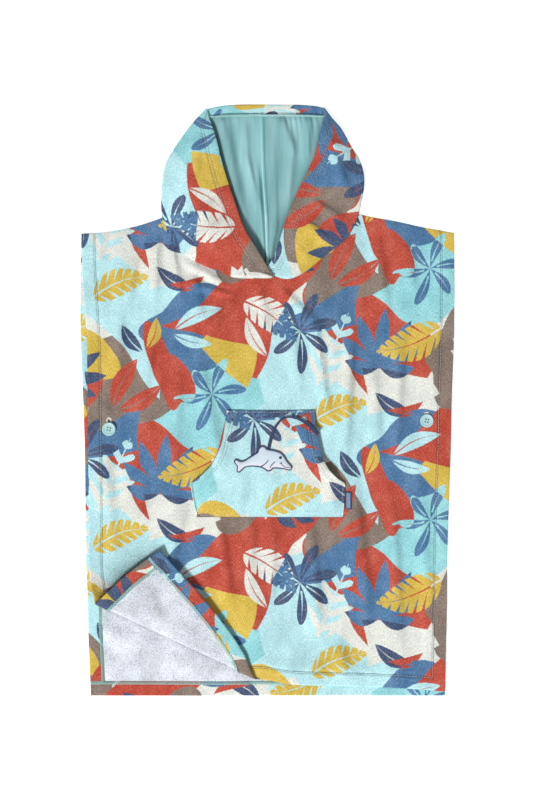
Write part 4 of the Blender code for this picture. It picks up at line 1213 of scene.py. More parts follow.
def body_grid(left_table, bottom_at, top_at, spacing):
    """The flat points of a body panel. Close lines follow its sides and its lower edge at the
    EDGE_STEPS, even ones fill the middle, and the upper rows bend up to the shoulders and neck."""
    inner = EDGE_STEPS[-1]
    middle_columns = np.linspace(0, 1, round((BODY_WIDTH - 2 * inner) / spacing) + 1)[1:-1]
    middle_rows = np.linspace(0, 1, round((CHEST_Y - BOTTOM_Y - inner) / spacing) + 1)[1:]
    top_rows = np.linspace(0, 1, round(CHEST_RISE / spacing))[1:-1]
    close = CLOSE_STEPS[::-1]
    left_count = len(EDGE_STEPS)
    columns = left_count * 2 + len(middle_columns)
    rows = left_count + len(middle_rows) + len(top_rows) + len(close)
    x = np.repeat(np.linspace(-BODY_WIDTH / 2, BODY_WIDTH / 2, columns)[None], rows, axis=0)
    y = np.zeros_like(x)
    for _ in range(4):  # x and y depend on each other only a little, so this settles
        bottom, top = bottom_at(x[0]), top_at(x[-1])
        low, high = bottom + inner, top - TOP_BAND
        y = np.vstack([bottom + EDGE_STEPS[:, None],
                       low + (CHEST_Y - low) * middle_rows[:, None],
                       CHEST_Y + (high - CHEST_Y) * top_rows[:, None],
                       top - close[:, None]])
        left, right = smooth_interp(y[:, 0], left_table), smooth_interp(y[:, -1], SIDE_RIGHT)
        start, end = (left + inner)[:, None], (right - inner)[:, None]
        x = np.hstack([left[:, None] + EDGE_STEPS, start + (end - start) * middle_columns,
                       right[:, None] - EDGE_STEPS[::-1]])
    return x, y


def edge_distances(x, y, left_table, bottom_at, top_at):
    """How far each point lies from the sides, the lower edge and the upper edge."""
    left = x - smooth_interp(y, left_table)
    right = smooth_interp(y, SIDE_RIGHT) - x
    return left, right, y - bottom_at(x), top_at(x) - y


def hem_distance(distances):
    """How far each point lies from the nearest side or the lower edge."""
    return np.minimum.reduce(distances[:3])


def hem_thickness(distance, width=HEM_WIDTH):
    """What a turned hem adds: all of its fold within its width, and nothing farther in."""
    return HEM_FOLD * (1 - np.clip((distance - width + HEM_STEP) / HEM_STEP, 0, 1))


def ripples(x, y):
    """Broad ripples, each a bell of the distance from its own short line."""
    total = np.zeros_like(x)
    for x0, y0, x1, y1, width, height in RIPPLES:
        run = np.array([x1 - x0, y1 - y0], float)
        t = np.clip(((x - x0) * run[0] + (y - y0) * run[1]) / (run @ run), 0, 1)
        total += height * bell(np.hypot(x - x0 - run[0] * t, y - y0 - run[1] * t), width)
    return total


def unevenness(x, y):
    """What keeps laid cloth from lying dead flat: long waves that cross, from 0 to 2.4."""
    first = np.sin(x / 37 + y / 71 + 0.6) * np.sin(y / 53 - x / 96 + 1.9)
    second = np.sin(x / 21 - y / 47 + 2.2) * np.sin(y / 29 + x / 63)
    return 1.2 + 0.75 * first + 0.45 * second


CREASE_GAIN = 1.3
EDGE_WAVES = 0.25  # what is left of the waves at the hems
PUCKERS = (0.28, 3.1, 19.0, 6.0)  # along the hems: height, wave, from the edge, half width
PUCKER_DIP = 0.15


def front_surface(x, y):
    """The height of the front panel's middle: flat, higher at its hems, with soft ripples, creases
    and waves that are low at the edges, and small puckers along the hem's stitching."""
    edge = hem_distance(edge_distances(x, y, SIDE_LEFT_FRONT, front_hem_at, np.zeros_like))
    hem = 1 - smoothstep(HEM_WIDTH + 1, HEM_WIDTH + HEM_SLOPE, edge)
    inside = EDGE_WAVES + (1 - EDGE_WAVES) * smoothstep(4, 40, edge)
    waves = unevenness(x, y) + CREASE_GAIN * np.maximum(creases(x, y, FRONT_CREASES), 0)
    height, wave, place, width = PUCKERS
    puckers = np.maximum(height * np.sin((x + y) / wave) * bell(edge - place, width), -PUCKER_DIP)
    return FRONT_MID + HEM_RISE * hem + ripples(x, y) + waves * inside + puckers


# ---- the turned corner


FOLD_LENGTH = np.linalg.norm(FOLD_RIGHT - FOLD_LEFT)
FOLD_ALONG = (FOLD_RIGHT - FOLD_LEFT) / FOLD_LENGTH
FOLD_OUT = np.array([FOLD_ALONG[1], -FOLD_ALONG[0]])  # toward the corner that is turned
FLAP_FLAT = (6.0, 30.0)  # past the fold: the flap's creases come up between these
CREST_SHADE = (0.4, 2.1, 0.8)  # how much, at which turn round the fold, half width
UNDER_SHADE = (2.1, 14.0)  # how much at the flap's edge, how far from it a third is left


def fold_place(x, y):
    """A point's place along the fold, the fold's radius there, which changes evenly from end to end,
    and how far the point is past the fold's start."""
    from_left = np.stack([x, y], axis=-1) - FOLD_LEFT
    run = from_left @ FOLD_ALONG
    radius = FOLD_RADIUS_LEFT + (FOLD_RADIUS_RIGHT - FOLD_RADIUS_LEFT) * run / FOLD_LENGTH
    return run, radius, from_left @ FOLD_OUT + radius


def fold_shade(x, y):
    """What evens out the light of the fold's crest, a bell over the turn round the fold, and the
    shade beside the turned corner's free edge, which falls off with the distance from it."""
    _, radius, past = fold_place(x, y)
    shade, turn, width = CREST_SHADE
    crest = shade * bell(past / radius - turn, width)
    run = FLAP_CORNER - FOLD_LEFT
    length = np.linalg.norm(run)
    from_left = np.stack([x, y], axis=-1) - FOLD_LEFT
    share = from_left @ run / length**2
    away = from_left @ np.array([-run[1], run[0]]) / length
    ends = smoothstep(-0.02, 0.1, share) * (1 - smoothstep(0.7, 1.1, share))
    shade, reach = UNDER_SHADE
    under = shade * np.exp(-np.maximum(away, 0) / reach) * smoothstep(-9, 0, away) * ends
    return crest + np.where(past <= 0, under, 0)


def front_place(x, y):
    """Where a point of the flat front panel lies: beyond the fold the cloth rolls up round a cone
    and comes back above itself, upside down."""
    run, radius, past = fold_place(x, y)
    angle = np.clip(past / radius, 0, math.pi)
    beyond = np.maximum(past - math.pi * radius, 0)
    shift = np.where(past > 0, radius * np.sin(angle) - beyond, past)
    foot = FOLD_LEFT + FOLD_ALONG * run[..., None] - FOLD_OUT * radius[..., None]
    place = foot + FOLD_OUT * shift[..., None]
    flat = past <= 0
    base = np.where(flat, front_surface(x, y), front_surface(foot[..., 0], foot[..., 1]))
    settle = FLAP_SETTLE * smoothstep(0, FLAP_SETTLE_LENGTH, beyond)
    wave = creases(x, y, FLAP_CREASES) * smoothstep(*FLAP_FLAT, beyond)
    height = base + radius * (1 - np.cos(angle)) - settle + wave
    return np.concatenate([place, height[..., None]], axis=-1)


# ---- pieces


def body_sheet(middle, distances, hem_outside):
    """A body panel's middle points, normals and the thickness on both sides of them, rounded at its
    edges, thicker at its hems, and drawn in along the hem's stitching."""
    edge = hem_distance(distances)
    thin = round_edge(np.minimum(edge, distances[3]))
    groove = sum(STITCH_DEPTH * bell(edge - line, STITCH_GROOVE) for line in STITCH_LINES)
    hemmed = (CLOTH / 2 + hem_thickness(edge)) * thin - groove * 0.5
    plain = CLOTH / 2 * thin - groove
    outer, inner = (hemmed, plain) if hem_outside else (plain, hemmed)
    # the grooves also darken the colour: pressed pile, with painted shade in them
    return cloth_sheet(middle, np.maximum(outer, THIN), np.maximum(inner, THIN),
                       pressed=groove / STITCH_DEPTH)


def turned_cut(x, y, distances):
    """The flat cut of the hems that are turned to the inner side: what lies beyond the edge. The
    lower hem was turned last and covers the ends of the side ones."""
    left, right, bottom, _ = distances
    reach = HEM_WIDTH + 0.1
    lower = bottom < reach
    turn = np.where(left < right, -2 * left, 2 * right)
    turned_x = np.where((np.minimum(left, right) < reach) & ~lower, x + turn, x)
    return np.stack([turned_x, np.where(lower, y - 2 * bottom, y)], axis=-1)


def cell_average(values):
    """The mean of each cell's four corners."""
    return (values[:-1, :-1] + values[1:, :-1] + values[1:, 1:] + values[:-1, 1:]) / 4


BODY_MATERIALS = ["velour_print", "white_terry", "teal_lining"]
PRINTED, LOOPED, LINED = range(3)


FRONT_SPACING = 3.7  # between the middle lines of its grid
BACK_SPACING = 5.0
FRONT_SHOULDER_DROP = 0.8
BACK_SHOULDER_LIFT = 0.45
BACK_CUT_SHIFT = (137.0, 61.0)  # of its place in the print
POCKET_CUT_SHIFT = (62.0, 118.0)
FAR = 99.0  # from any hem


def shoulder_seam(x, top):
    """1 at the shoulder seams, and nothing toward the neck or farther down from them."""
    return smoothstep(150, 180, np.abs(x)) * (1 - smoothstep(0, 7, top))


def build_front_panel():
    """The front: printed outside, looped inside between its hems, and rolled over at the fold."""
    top_at = increasing(front_top_line())
    x, y = body_grid(SIDE_LEFT_FRONT, front_hem_at, top_at, FRONT_SPACING)
    distances = edge_distances(x, y, SIDE_LEFT_FRONT, front_hem_at, top_at)
    sheet = body_sheet(front_place(x, y), distances, hem_outside=False)
    sheet["middle"][..., 2] -= FRONT_SHOULDER_DROP * shoulder_seam(x, distances[3])
    # painted shade over the fold's crest, beside the turned corner's edge and in a soft trough on the terry
    sheet["pressed"] += fold_shade(x, y) + creases(x, y, TERRY_SHADES[:1])
    hem = cell_average(hem_distance(distances)) < HEM_WIDTH
    cut = np.stack([x, y], axis=-1)
    piece = cloth_wall("front_panel_cloth", sheet, BODY_MATERIALS,
                       (PRINTED, np.where(hem, PRINTED, LOOPED)), (cut, turned_cut(x, y, distances)))
    return piece, sheet


def back_place(x, y, distances):
    """Where a point of the flat back panel lies: level, with low creases where the turned corner
    shows it and a bank under the fold. The bank is a bell of the distance from its crest, steep
    on the inside, and as high as the fold's radius asks."""
    left, _, bottom, top = distances
    run, radius, past = fold_place(x, y)
    share, past = run / FOLD_LENGTH, past - radius
    crest, height, inside, outside = BANK
    bank = bell(past - crest, np.where(past < crest, inside, outside))
    ends = smoothstep(0.0, 0.16, share) * (1 - smoothstep(0.82, 1.0, share))
    shown = smoothstep(2, 14, past)
    for edge in (bottom, left):
        shown = shown * smoothstep(HEM_WIDTH, HEM_WIDTH + 16, edge)
    lift = BACK_SHOULDER_LIFT * shoulder_seam(x, top) + height * radius / FOLD_RADIUS_LEFT * bank * ends
    lift = lift + np.maximum(creases(x, y, BACK_CREASES), 0) * shown
    return np.stack([x, y, BACK_MID + lift], axis=-1)


def build_back_panel():
    """The back, with its looped side up and its hems turned to that side."""
    top_at = increasing(back_top_line())
    x, y = body_grid(SIDE_LEFT_BACK, back_hem_at, top_at, BACK_SPACING)
    distances = edge_distances(x, y, SIDE_LEFT_BACK, back_hem_at, top_at)
    sheet = body_sheet(back_place(x, y, distances), distances, hem_outside=True)
    # painted shade of soft troughs on the terry beside the turned corner
    sheet["pressed"] += creases(x, y, TERRY_SHADES[1:])
    hem = cell_average(hem_distance(distances)) < HEM_WIDTH
    cut = np.stack([-x, y], axis=-1) + BACK_CUT_SHIFT
    turned = turned_cut(x, y, distances) * [-1, 1] + BACK_CUT_SHIFT
    piece = cloth_wall("back_panel_cloth", sheet, BODY_MATERIALS,
                       (np.where(hem, PRINTED, LOOPED), PRINTED), (turned, cut))
    return piece, sheet


HOOD_LEAF_STEPS = 30
HOOD_BEND_STEPS = 12
HOOD_TAIL_STEPS = 4
HOOD_BEHIND_STEPS = 34
HOOD_ROWS = (7, 58, 56)  # in the band, down the side, along the neck
HOOD_BAND_STEPS = np.array([-0.003, -0.0012, 0.0012, 0.003])  # close rows at the band's lower edge
HOOD_GROOVE_PRESSING_AND_SHADE = 0.8  # how much its stitch grooves darken the colour, by pressed pile and painted shade, against the body's


def hood_sheet(spec, crease_table):
    """A hood half as rows from the front leaf's free edge over the roll to the middle seam behind:
    the leaf goes straight to the roll, raised by a sine of puff, the bend is half an ellipse, and
    the layer under it runs on level for its tail and then eases down to the back."""
    roll_line, share = hood_lines(spec)
    close = CLOSE_STEPS / run_of(roll_line)[-1]
    band = HOOD_HEM_ROW * share
    in_band, in_side, in_neck = HOOD_ROWS
    fraction = np.unique(np.r_[close, np.linspace(close[-1], band, in_band)[1:-1],
                               band + HOOD_BAND_STEPS, np.linspace(band, share, in_side)[1:],
                               np.linspace(share, 1, in_neck)[1:]])
    roll = spaced(roll_line, fraction)
    edge = spaced(smooth_dense(spec["edge"]), fraction)
    inward = inward_at(roll_line, fraction, spec)
    low, high, edge_high, tail = (table_interp(fraction, spec[key])[:, None]
                                  for key in ("low", "high", "edge_high", "tail"))
    down = (fraction / share)[:, None]
    depth = np.minimum(HOOD_ROLL_DEPTH, tail * HOOD_ROLL_PART)
    tight = smoothstep(0, HOOD_TIGHT_PART, fraction)
    depth = depth * (HOOD_TIGHT + (1 - HOOD_TIGHT) * tight)[:, None]
    start = roll + inward * depth
    width = np.linalg.norm(edge - start, axis=1)[:, None]
    hem = np.minimum(HOOD_HEM_WIDTH, 0.6 * width)
    s_hem = 1 - hem * HOOD_STEPS / HOOD_HEM_WIDTH / width
    s_leaf = np.hstack([s_hem, s_hem[:, -1:] * np.linspace(1, 0, HOOD_LEAF_STEPS + 1)[1:]])
    leaf = start[:, None] + (edge - start)[:, None] * s_leaf[..., None]
    full = smoothstep(0, HOOD_PUFFED[0], fraction) * (1 - smoothstep(*HOOD_PUFFED[1:], fraction))
    puff = HOOD_PUFF * np.sin(math.pi * s_leaf) * full[:, None]
    fold = creases(leaf[..., 0], leaf[..., 1], crease_table) * np.sin(math.pi * s_leaf) ** 0.5
    leaf_z = high + (edge_high - high) * s_leaf + puff + fold * full[:, None]
    angle = np.linspace(90, -90, HOOD_BEND_STEPS + 1)[1:] * math.pi / 180
    bend = roll[:, None] + inward[:, None] * (depth * (1 - np.cos(angle)))[..., None]
    bend_z = (high + low) / 2 + (high - low) / 2 * np.sin(angle)
    tail_t = np.linspace(0, 1, HOOD_TAIL_STEPS + 1)[1:-1]
    tail_at = roll[:, None] + inward[:, None] * (depth + (tail - depth) * tail_t)[..., None]
    end = roll + inward * tail
    s = np.linspace(0, 1, HOOD_BEHIND_STEPS + 1)
    under = np.minimum(down, 1)
    middle = np.array(HOOD_TOP_MIDDLE) * (1 - under) + np.array(HOOD_BACK_MIDDLE) * under
    middle = middle - [spec["inward"] * GAP / 2, 0]
    behind = back_row(end[:, None], middle[:, None], under, s)
    behind_z = low + (BACK_MID - low) * smoothstep(0, 0.22, s)
    flat = np.concatenate([leaf, bend, tail_at, behind], axis=1)
    height = np.hstack([leaf_z, bend_z, np.repeat(low, len(tail_t), axis=1), behind_z])
    points = np.concatenate([flat, height[..., None]], axis=-1)
    return {"middle": points, "normal": grid_normals(points), "fraction": fraction, "share": share,
            "leaf": leaf.shape[1], "behind": points.shape[1] - len(s), "start": start,
            "inward": inward, "down": down, "edge_away": (1 - s_leaf) * width, "hem": hem}


def build_hood(side, spec, crease_table):
    """A hood half. Its flat cut is the front leaf as it lies, the rest unrolled outward from it, and
    what lies in the hem or the band mirrored over its edge."""
    sheet = hood_sheet(spec, crease_table)
    rows, columns = sheet["middle"].shape[:2]
    leaf, behind = sheet["leaf"], sheet["behind"]
    from_edge = np.full((rows, columns), FAR)
    from_edge[:, :leaf] = sheet["edge_away"]
    hem = np.repeat(sheet["hem"], columns, axis=1)
    from_top = np.repeat(sheet["fraction"][:, None] * run_of(hood_lines(spec)[0])[-1], columns, axis=1)
    band = (sheet["down"] < HOOD_HEM_ROW) & (np.arange(columns) >= leaf)
    thin = round_edge(np.minimum(from_edge, from_top))
    scale = hem / HOOD_HEM_WIDTH
    fold = (from_edge < hem - HEM_STEP * 0.5) | band
    groove = sum(STITCH_DEPTH * bell(from_edge - line * scale, STITCH_GROOVE)
                 for line in HOOD_STITCH_LINES)
    sheet["outer"] = np.maximum(CLOTH / 2 * thin - groove, THIN)
    sheet["inner"] = np.maximum((CLOTH / 2 + HEM_FOLD * fold) * thin, THIN)
    # the grooves also darken the colour: pressed pile, with painted shade in them
    sheet["pressed"] = groove / STITCH_DEPTH * HOOD_GROOVE_PRESSING_AND_SHADE
    keep = np.ones((rows - 1, columns - 1), bool)
    keep[sheet["fraction"][:-1] >= sheet["share"] - 1e-6, behind:] = False
    unrolled = np.linalg.norm(np.diff(sheet["middle"], axis=1), axis=-1)
    unrolled = np.cumsum(unrolled[:, leaf - 1:], axis=1)
    flat = sheet["middle"][..., :2].copy()
    flat[:, leaf:] = sheet["start"][:, None] - sheet["inward"][:, None] * unrolled[..., None]
    outward = unit(flat[:, :1] - flat[:, leaf - 1: leaf])
    beyond_edge = flat + outward * (2 * from_edge)[..., None]
    turned = np.where((from_edge < hem)[..., None], beyond_edge, flat)
    turned = np.where(band[..., None], 2 * flat[:1] - flat, turned)
    angle, shift = math.radians(spec["cut_turn"]), spec["cut_shift"]
    rotate = np.array([[math.cos(angle), math.sin(angle)], [-math.sin(angle), math.cos(angle)]])
    hem_cell = (cell_average(from_edge) < cell_average(hem)) | band[1:, 1:] & band[:-1, :-1]
    inside = np.where(hem_cell, PRINTED, LINED)
    piece = cloth_wall(f"hood_{side}_cloth", sheet, BODY_MATERIALS, (PRINTED, inside),
                       (flat @ rotate + shift, turned @ rotate + shift),
                       flip=spec["inward"] < 0, keep=keep)
    return piece, sheet


# Painted light on the lining, used by lining_shade: shade under the hood's edges and beside the seam's lower
# half, a highlight on the seam's ridge, and shade on the right half
EDGE_SHADE = 0.9
EDGE_SHADE_REACH = {"left": 6.0, "right": 4.5}
SEAM_LIGHT = (1.6, 0.5, 1.1)  # how much, from the seam, half width
SEAM_SHADE = (1.1, 2.6, 1.2)
RIGHT_SHADE = (0.24, 0.3)  # near the seam, and how much less farther out
LINING_TUCK = 0.012  # behind the band, as a share of the hood's side


def lining_shade(x, y, seam, spec):
    """Less light under the hood's edge, falling off with the distance from it, and on the left of the
    middle seam's lower half; more on the seam's ridge. The right half is darker near the seam and
    lighter farther out."""
    side = "left" if spec["inward"] > 0 else "right"
    edge_x = smooth_interp(-y, [(-at_y, at_x) for at_x, at_y in spec["edge"]])
    inside = (x - edge_x) * spec["inward"]
    shade = EDGE_SHADE * np.exp(-np.maximum(inside, 0) / EDGE_SHADE_REACH[side])
    light, place, width = SEAM_LIGHT
    shade = shade - light * bell(seam - place, width)
    if side == "left":
        dark, place, width = SEAM_SHADE
        return shade + dark * bell(seam - place, width) * (1 - smoothstep(280, 320, y))
    return shade + RIGHT_SHADE[0] - RIGHT_SHADE[1] * smoothstep(20, 42, x)


def build_lining(side, spec, hood):
    """The lining lies on the hood's back leaf, from the band at the top to the neckline, with soft
    upright folds, gathers under the band and a pinched seam in the middle."""
    first = int(np.searchsorted(hood["down"][:, 0], HOOD_HEM_ROW - LINING_TUCK))
    last = int(np.searchsorted(hood["fraction"], hood["share"] + 1e-6))
    points = hood["middle"][first:last, hood["behind"]:]
    column = (1 - (1 - np.linspace(0, 1, LINING_COLUMNS)) ** 1.7) * (points.shape[1] - 1)
    before = np.minimum(column.astype(int), points.shape[1] - 2)
    share = (column - before)[:, None]
    points = points[:, before] * (1 - share) + points[:, before + 1] * share
    seam = np.abs(points[..., 0] - points[:, -1:, 0])
    points[..., 0] += smooth_interp(points[..., 1], LINING_SEAM) * bell(seam, LINING_SEAM_REACH)
    x, y = points[..., 0], points[..., 1]
    band_y = points[0, :, 1][None]
    edge = smoothstep(0, 9, band_y - y)
    fold = np.maximum(creases(x, y, LINING_CREASES), 0)
    gathers = sum(height * bell(x - at - (band_y - y) * GATHER_SLANT, GATHER_WIDTH)
                  for at, height in LINING_GATHERS)
    gathers = gathers * np.exp(-np.maximum(band_y - y, 0) / GATHER_LENGTH)
    pinch = sum(height * bell(seam, width) for height, width in SEAM_PINCHES)
    rise = (fold + unevenness(x * 1.7, y)) * (0.15 + 0.85 * edge) + (gathers + pinch) * (0.3 + 0.7 * edge)
    lift = CLOTH / 2 + GAP + LINING / 2 + HEM_FOLD * (1 - smoothstep(0, 6, band_y - y - 3))
    points[..., 2] = np.maximum(points[..., 2], BACK_MID) + lift + rise
    half = np.full(points.shape[:2], LINING / 2)
    # painted light on the lining's colour: shade under the hood's edge and beside the seam, a highlight on
    # the seam's ridge
    sheet = cloth_sheet(points, half, half, pressed=lining_shade(x, y, seam, spec))
    cut = points[..., :2]
    piece = cloth_wall(f"hood_lining_{side}_cloth", sheet, ["teal_lining"], (0, 0), (cut, cut),
                       flip=spec["inward"] < 0)
    return piece, sheet


OPENING_WIDTH = 22.0  # how far in from an opening it lifts the pocket
OPENING_RISE = 18.0  # the length of the opening's low end, over which that lift comes up
OPENING_FALL = 31.0  # the length of its high end
# the painted shadow line beside the pocket's turned edges, the painted highlight on their lip, and the band
# they lie in
LIP_PAINTED_SHADOW = 1.8
LIP_PAINTED_HIGHLIGHT = 1.4
LIP_WIDTH = 3.4


def pocket_edges(y):
    """The x of the pocket's two sides."""
    return table_interp(y, POCKET_LEFT), table_interp(y, POCKET_RIGHT)


def pocket_rise(x, y):
    """How far the pocket stands off the front panel: nothing along its sewn edges, more in the
    middle and most at its two curved openings."""
    left, right = pocket_edges(y)
    up = (y - POCKET_BOTTOM_Y) / (POCKET_TOP_Y - POCKET_BOTTOM_Y)
    inside = np.clip((x - left) / (right - left), 0, 1)
    puff = POCKET_PUFF * np.sin(math.pi * np.clip(up, 0, 1)) ** 0.7 * np.sin(math.pi * inside) ** 0.5
    near = bell(np.minimum(x - left, right - x), OPENING_WIDTH)
    low_end = smoothstep(POCKET_CORNER_Y, POCKET_CORNER_Y + OPENING_RISE, y)
    high_end = 1 - smoothstep(POCKET_TOP_Y - OPENING_FALL, POCKET_TOP_Y, y)
    hem_room = (HEM_FOLD + 0.1) * smoothstep(POCKET_CORNER_Y - 7, POCKET_CORNER_Y + 9, y)
    gape_x, gape_y, gape_radius, gape = POCKET_GAPE
    gape = gape * bell(np.hypot(x - gape_x, y - gape_y), gape_radius)
    return puff + near * (POCKET_LIFT * low_end * high_end + hem_room) + gape * low_end


def pocket_middle(x, y):
    """The pocket's middle: on the front panel's, by the cloth between them and its own rise."""
    up = smoothstep(0, 14, y - POCKET_BOTTOM_Y) * smoothstep(0, 14, POCKET_TOP_Y - y)
    wave = creases(x, y, POCKET_CREASES) * up
    return front_surface(x, y) + CLOTH + CLEAR + pocket_rise(x, y) + wave


def pocket_top(x, y):
    """The pocket's outer face."""
    return pocket_middle(x, y) + CLOTH / 2


def pocket_lip_painted_light(left, right, y, open_side):
    """Painted light at the pocket's turned edges: a painted highlight on the lip and a painted shadow
    line beside it, from the distances to its two sides."""
    low, high = y - POCKET_BOTTOM_Y, POCKET_TOP_Y - y
    sewn = 1 - open_side
    edge = np.minimum(np.minimum(left, right), np.minimum(low, high))
    pale = bell(low - 1.9, 0.7) + bell(high - 0.7, 0.7) + bell(right - 0.9, 0.9)
    pale = pale + bell(left - 0.5, 0.5) * sewn
    dark = LIP_PAINTED_SHADOW * (bell(low, 1.1) + bell(left - 1.9, 0.8) * sewn) + bell(left, 0.8) * open_side
    return np.where(edge < LIP_WIDTH, dark - LIP_PAINTED_HIGHLIGHT * pale, 0)


def build_pocket():
    """The pocket: sewn down along its top, its bottom and the low ends of its sides, with a hem at
    each curved opening."""
    tall = POCKET_TOP_Y - POCKET_BOTTOM_Y
    inner = SEAM_STEPS[-1]
    y = np.r_[SEAM_STEPS[:-1], np.linspace(inner, tall - inner, 54), tall - SEAM_STEPS[:-1][::-1]]
    corners = np.array([(POCKET_CORNER_Y + step) - POCKET_BOTTOM_Y for step in (-1, 0.5, 1.5, 2.5)])
    y = np.unique(np.r_[y, corners]) + POCKET_BOTTOM_Y
    left, right = (side[:, None] for side in pocket_edges(y))
    t = np.linspace(0, 1, 48)[1:-1]
    start, end = left + POCKET_STEPS[-1], right - POCKET_STEPS[-1]
    x = np.hstack([left + POCKET_STEPS, start + (end - start) * t, right - POCKET_STEPS[::-1]])
    y = np.repeat(y[:, None], x.shape[1], axis=1)
    side = np.minimum(x - left, right - x)
    ends = np.minimum(y - POCKET_BOTTOM_Y, POCKET_TOP_Y - y)
    open_side = smoothstep(POCKET_CORNER_Y - 0.2, POCKET_CORNER_Y + 7, y)
    thin = round_edge(np.minimum(side, ends))
    fold = hem_thickness(side, POCKET_HEM_WIDTH) * open_side
    lines = sum(bell(side - line, STITCH_GROOVE) for line in POCKET_STITCH_LINES) * open_side
    side_seam = bell(side - POCKET_SEAM, STITCH_GROOVE) * (1 - open_side)
    seam = bell(ends - POCKET_SEAM, STITCH_GROOVE) + side_seam
    middle = np.stack([x, y, pocket_middle(x, y)], axis=-1)
    # the grooves' pressed pile and painted shade, and the painted light of the lip
    pressed = lines + seam + pocket_lip_painted_light(x - left, right - x, y, open_side)
    sheet = cloth_sheet(middle, np.maximum(CLOTH / 2 * thin - STITCH_DEPTH * (lines + seam), THIN),
                        np.maximum((CLOTH / 2 + fold) * thin, THIN), pressed=pressed, y=y[:, 0])
    inside = np.where(cell_average(side) < POCKET_HEM_WIDTH, PRINTED, LOOPED)
    cut = np.stack([x, y], axis=-1) + POCKET_CUT_SHIFT
    return cloth_wall("pouch_pocket_cloth", sheet, BODY_MATERIALS, (PRINTED, inside), (cut, cut)), sheet


# ---- sewing

STITCH_LENGTH = 3.1
STITCH_PITCH = 4.1
STITCH_RADIUS = 0.24
SERGE_WIDTH = 5.0
SERGE_MIDDLE = 17.9
SERGE_PITCH = 1.3
SERGE_RADIUS = 0.44
SERGE_LIFT = 0.75
SERGE_DROP = 0.9
STITCH_LIFT = 0.25
HOOD_SERGE_SHIFT = (0, 0.2, 0.9)


def sheet_line(sheet, rows, columns, outside):
    """A line of a sheet's grid, on its outer or its inner face, with the normals there."""
    middle, normal = sheet["middle"][rows, columns], sheet["normal"][rows, columns]
    if outside:
        return middle + normal * sheet["outer"][rows, columns][..., None], normal
    return middle - normal * sheet["inner"][rows, columns][..., None], -normal


def topstitch(sheet, rows, columns, outside=True, lift=STITCH_LIFT):
    """Stitches along a line of a sheet, which stand off it by what they lift more than usual."""
    line, normal = sheet_line(sheet, rows, columns, outside)
    return stitch_run(line + normal * (lift - STITCH_LIFT), normal, STITCH_LENGTH, STITCH_PITCH, lift)


def serge(sheet, rows, columns, over_rows, over_columns, outside, drop=SERGE_DROP, width=SERGE_WIDTH):
    """Serging along a line of a sheet's grid; the other rows or columns give the way across it."""
    line, normal = sheet_line(sheet, rows, columns, outside)
    other, _ = sheet_line(sheet, over_rows, over_columns, outside)
    return overlock_run(line, normal, unit(other - line), width, SERGE_PITCH, SERGE_LIFT, drop)


def sew_body(front, back):
    """Cover stitches between the two grooves of the front's hems, a line of stitches on the inner
    side of each panel's, and the serged raw edges there. The lower hem was turned last, so its
    serging runs out to the sides."""
    first, cover = (int(np.searchsorted(EDGE_STEPS, line)) for line in (STITCH_LINES[0], STITCH_ROW))
    runs = []
    for rows, columns in ((slice(cover, None), cover), (slice(cover, None), -1 - cover),
                          (cover, slice(cover, -cover))):
        runs.append(topstitch(front, rows, columns, lift=0.4))
    for sheet, outside in ((front, False), (back, True)):
        for rows, columns in ((slice(first, None), first), (slice(first, None), -1 - first),
                              (first, slice(3, -3))):
            runs.append(topstitch(sheet, rows, columns, outside, lift=1.1))
    stitches = sew("body_topstitch", runs, STITCH_RADIUS, "pale_thread")
    raw = int(np.searchsorted(EDGE_STEPS, SERGE_MIDDLE))
    up, across = slice(raw + 4, None), slice(2, -2)
    runs = []
    for sheet, outside in ((front, False), (back, True)):
        runs.append(serge(sheet, up, raw, up, raw + 1, outside))
        runs.append(serge(sheet, raw, across, raw + 1, across, outside))
        runs.append(serge(sheet, up, -1 - raw, up, -2 - raw, outside))
    return stitches, sew("body_serging", runs, SERGE_RADIUS, "teal_thread")


def sew_hood(left, right, linings):
    """Two lines of stitches along each front edge, and the serged top edge of the lining."""
    columns = [int(np.searchsorted(HOOD_STEPS, line)) for line in HOOD_STITCH_LINES]
    runs = []
    for sheet in (left, right):
        for column in columns:
            last = int(np.searchsorted(sheet["fraction"], 0.97))
            runs.append(topstitch(sheet, slice(4, last), column))
    stitches = sew("hood_topstitch", runs, 0.15, "pale_thread")
    every = slice(None)
    runs = [serge(sheet, 0, every, 1, every, False, drop=0.5, width=2.8) for sheet in linings]
    for centre, _ in runs:
        centre += HOOD_SERGE_SHIFT
    return stitches, sew("hood_serging", runs, 0.5, "mint_thread")


def sew_pocket(sheet):
    """Two lines of stitches along each opening, and one along each seam that holds the pocket."""
    y = sheet["y"]
    corner = int(np.searchsorted(y, POCKET_CORNER_Y))
    seam_row = int(np.searchsorted(y, POCKET_BOTTOM_Y + POCKET_SEAM))
    top_row = int(np.searchsorted(y, POCKET_TOP_Y - POCKET_SEAM))
    runs = []
    for line in POCKET_STITCH_LINES:
        column = int(np.searchsorted(POCKET_STEPS, line))
        for side in (column, -1 - column):
            runs.append(topstitch(sheet, slice(corner + 2, top_row), side))
    edge = int(np.searchsorted(POCKET_STEPS, POCKET_SEAM))
    for row in (seam_row, top_row):
        runs.append(topstitch(sheet, row, slice(edge, -edge)))
    for side in (edge, -1 - edge):
        runs.append(topstitch(sheet, slice(seam_row, corner), side))
    return sew("pocket_topstitch", runs, 0.22, "pale_thread")


def surface_frame(x, y, height_at):
    """A point on a height field and its normal, from small steps along x and y."""
    step = 0.5
    slope_x = (height_at(x + step, y) - height_at(x - step, y)) / (2 * step)
    slope_y = (height_at(x, y + step) - height_at(x, y - step)) / (2 * step)
    normal = unit(np.stack([-slope_x, -slope_y, np.ones_like(x)], axis=-1))
    return np.stack([x, y, height_at(x, y)], axis=-1), normal


def front_top(x, y):
    """The front panel's outer face."""
    return front_surface(x, y) + CLOTH / 2


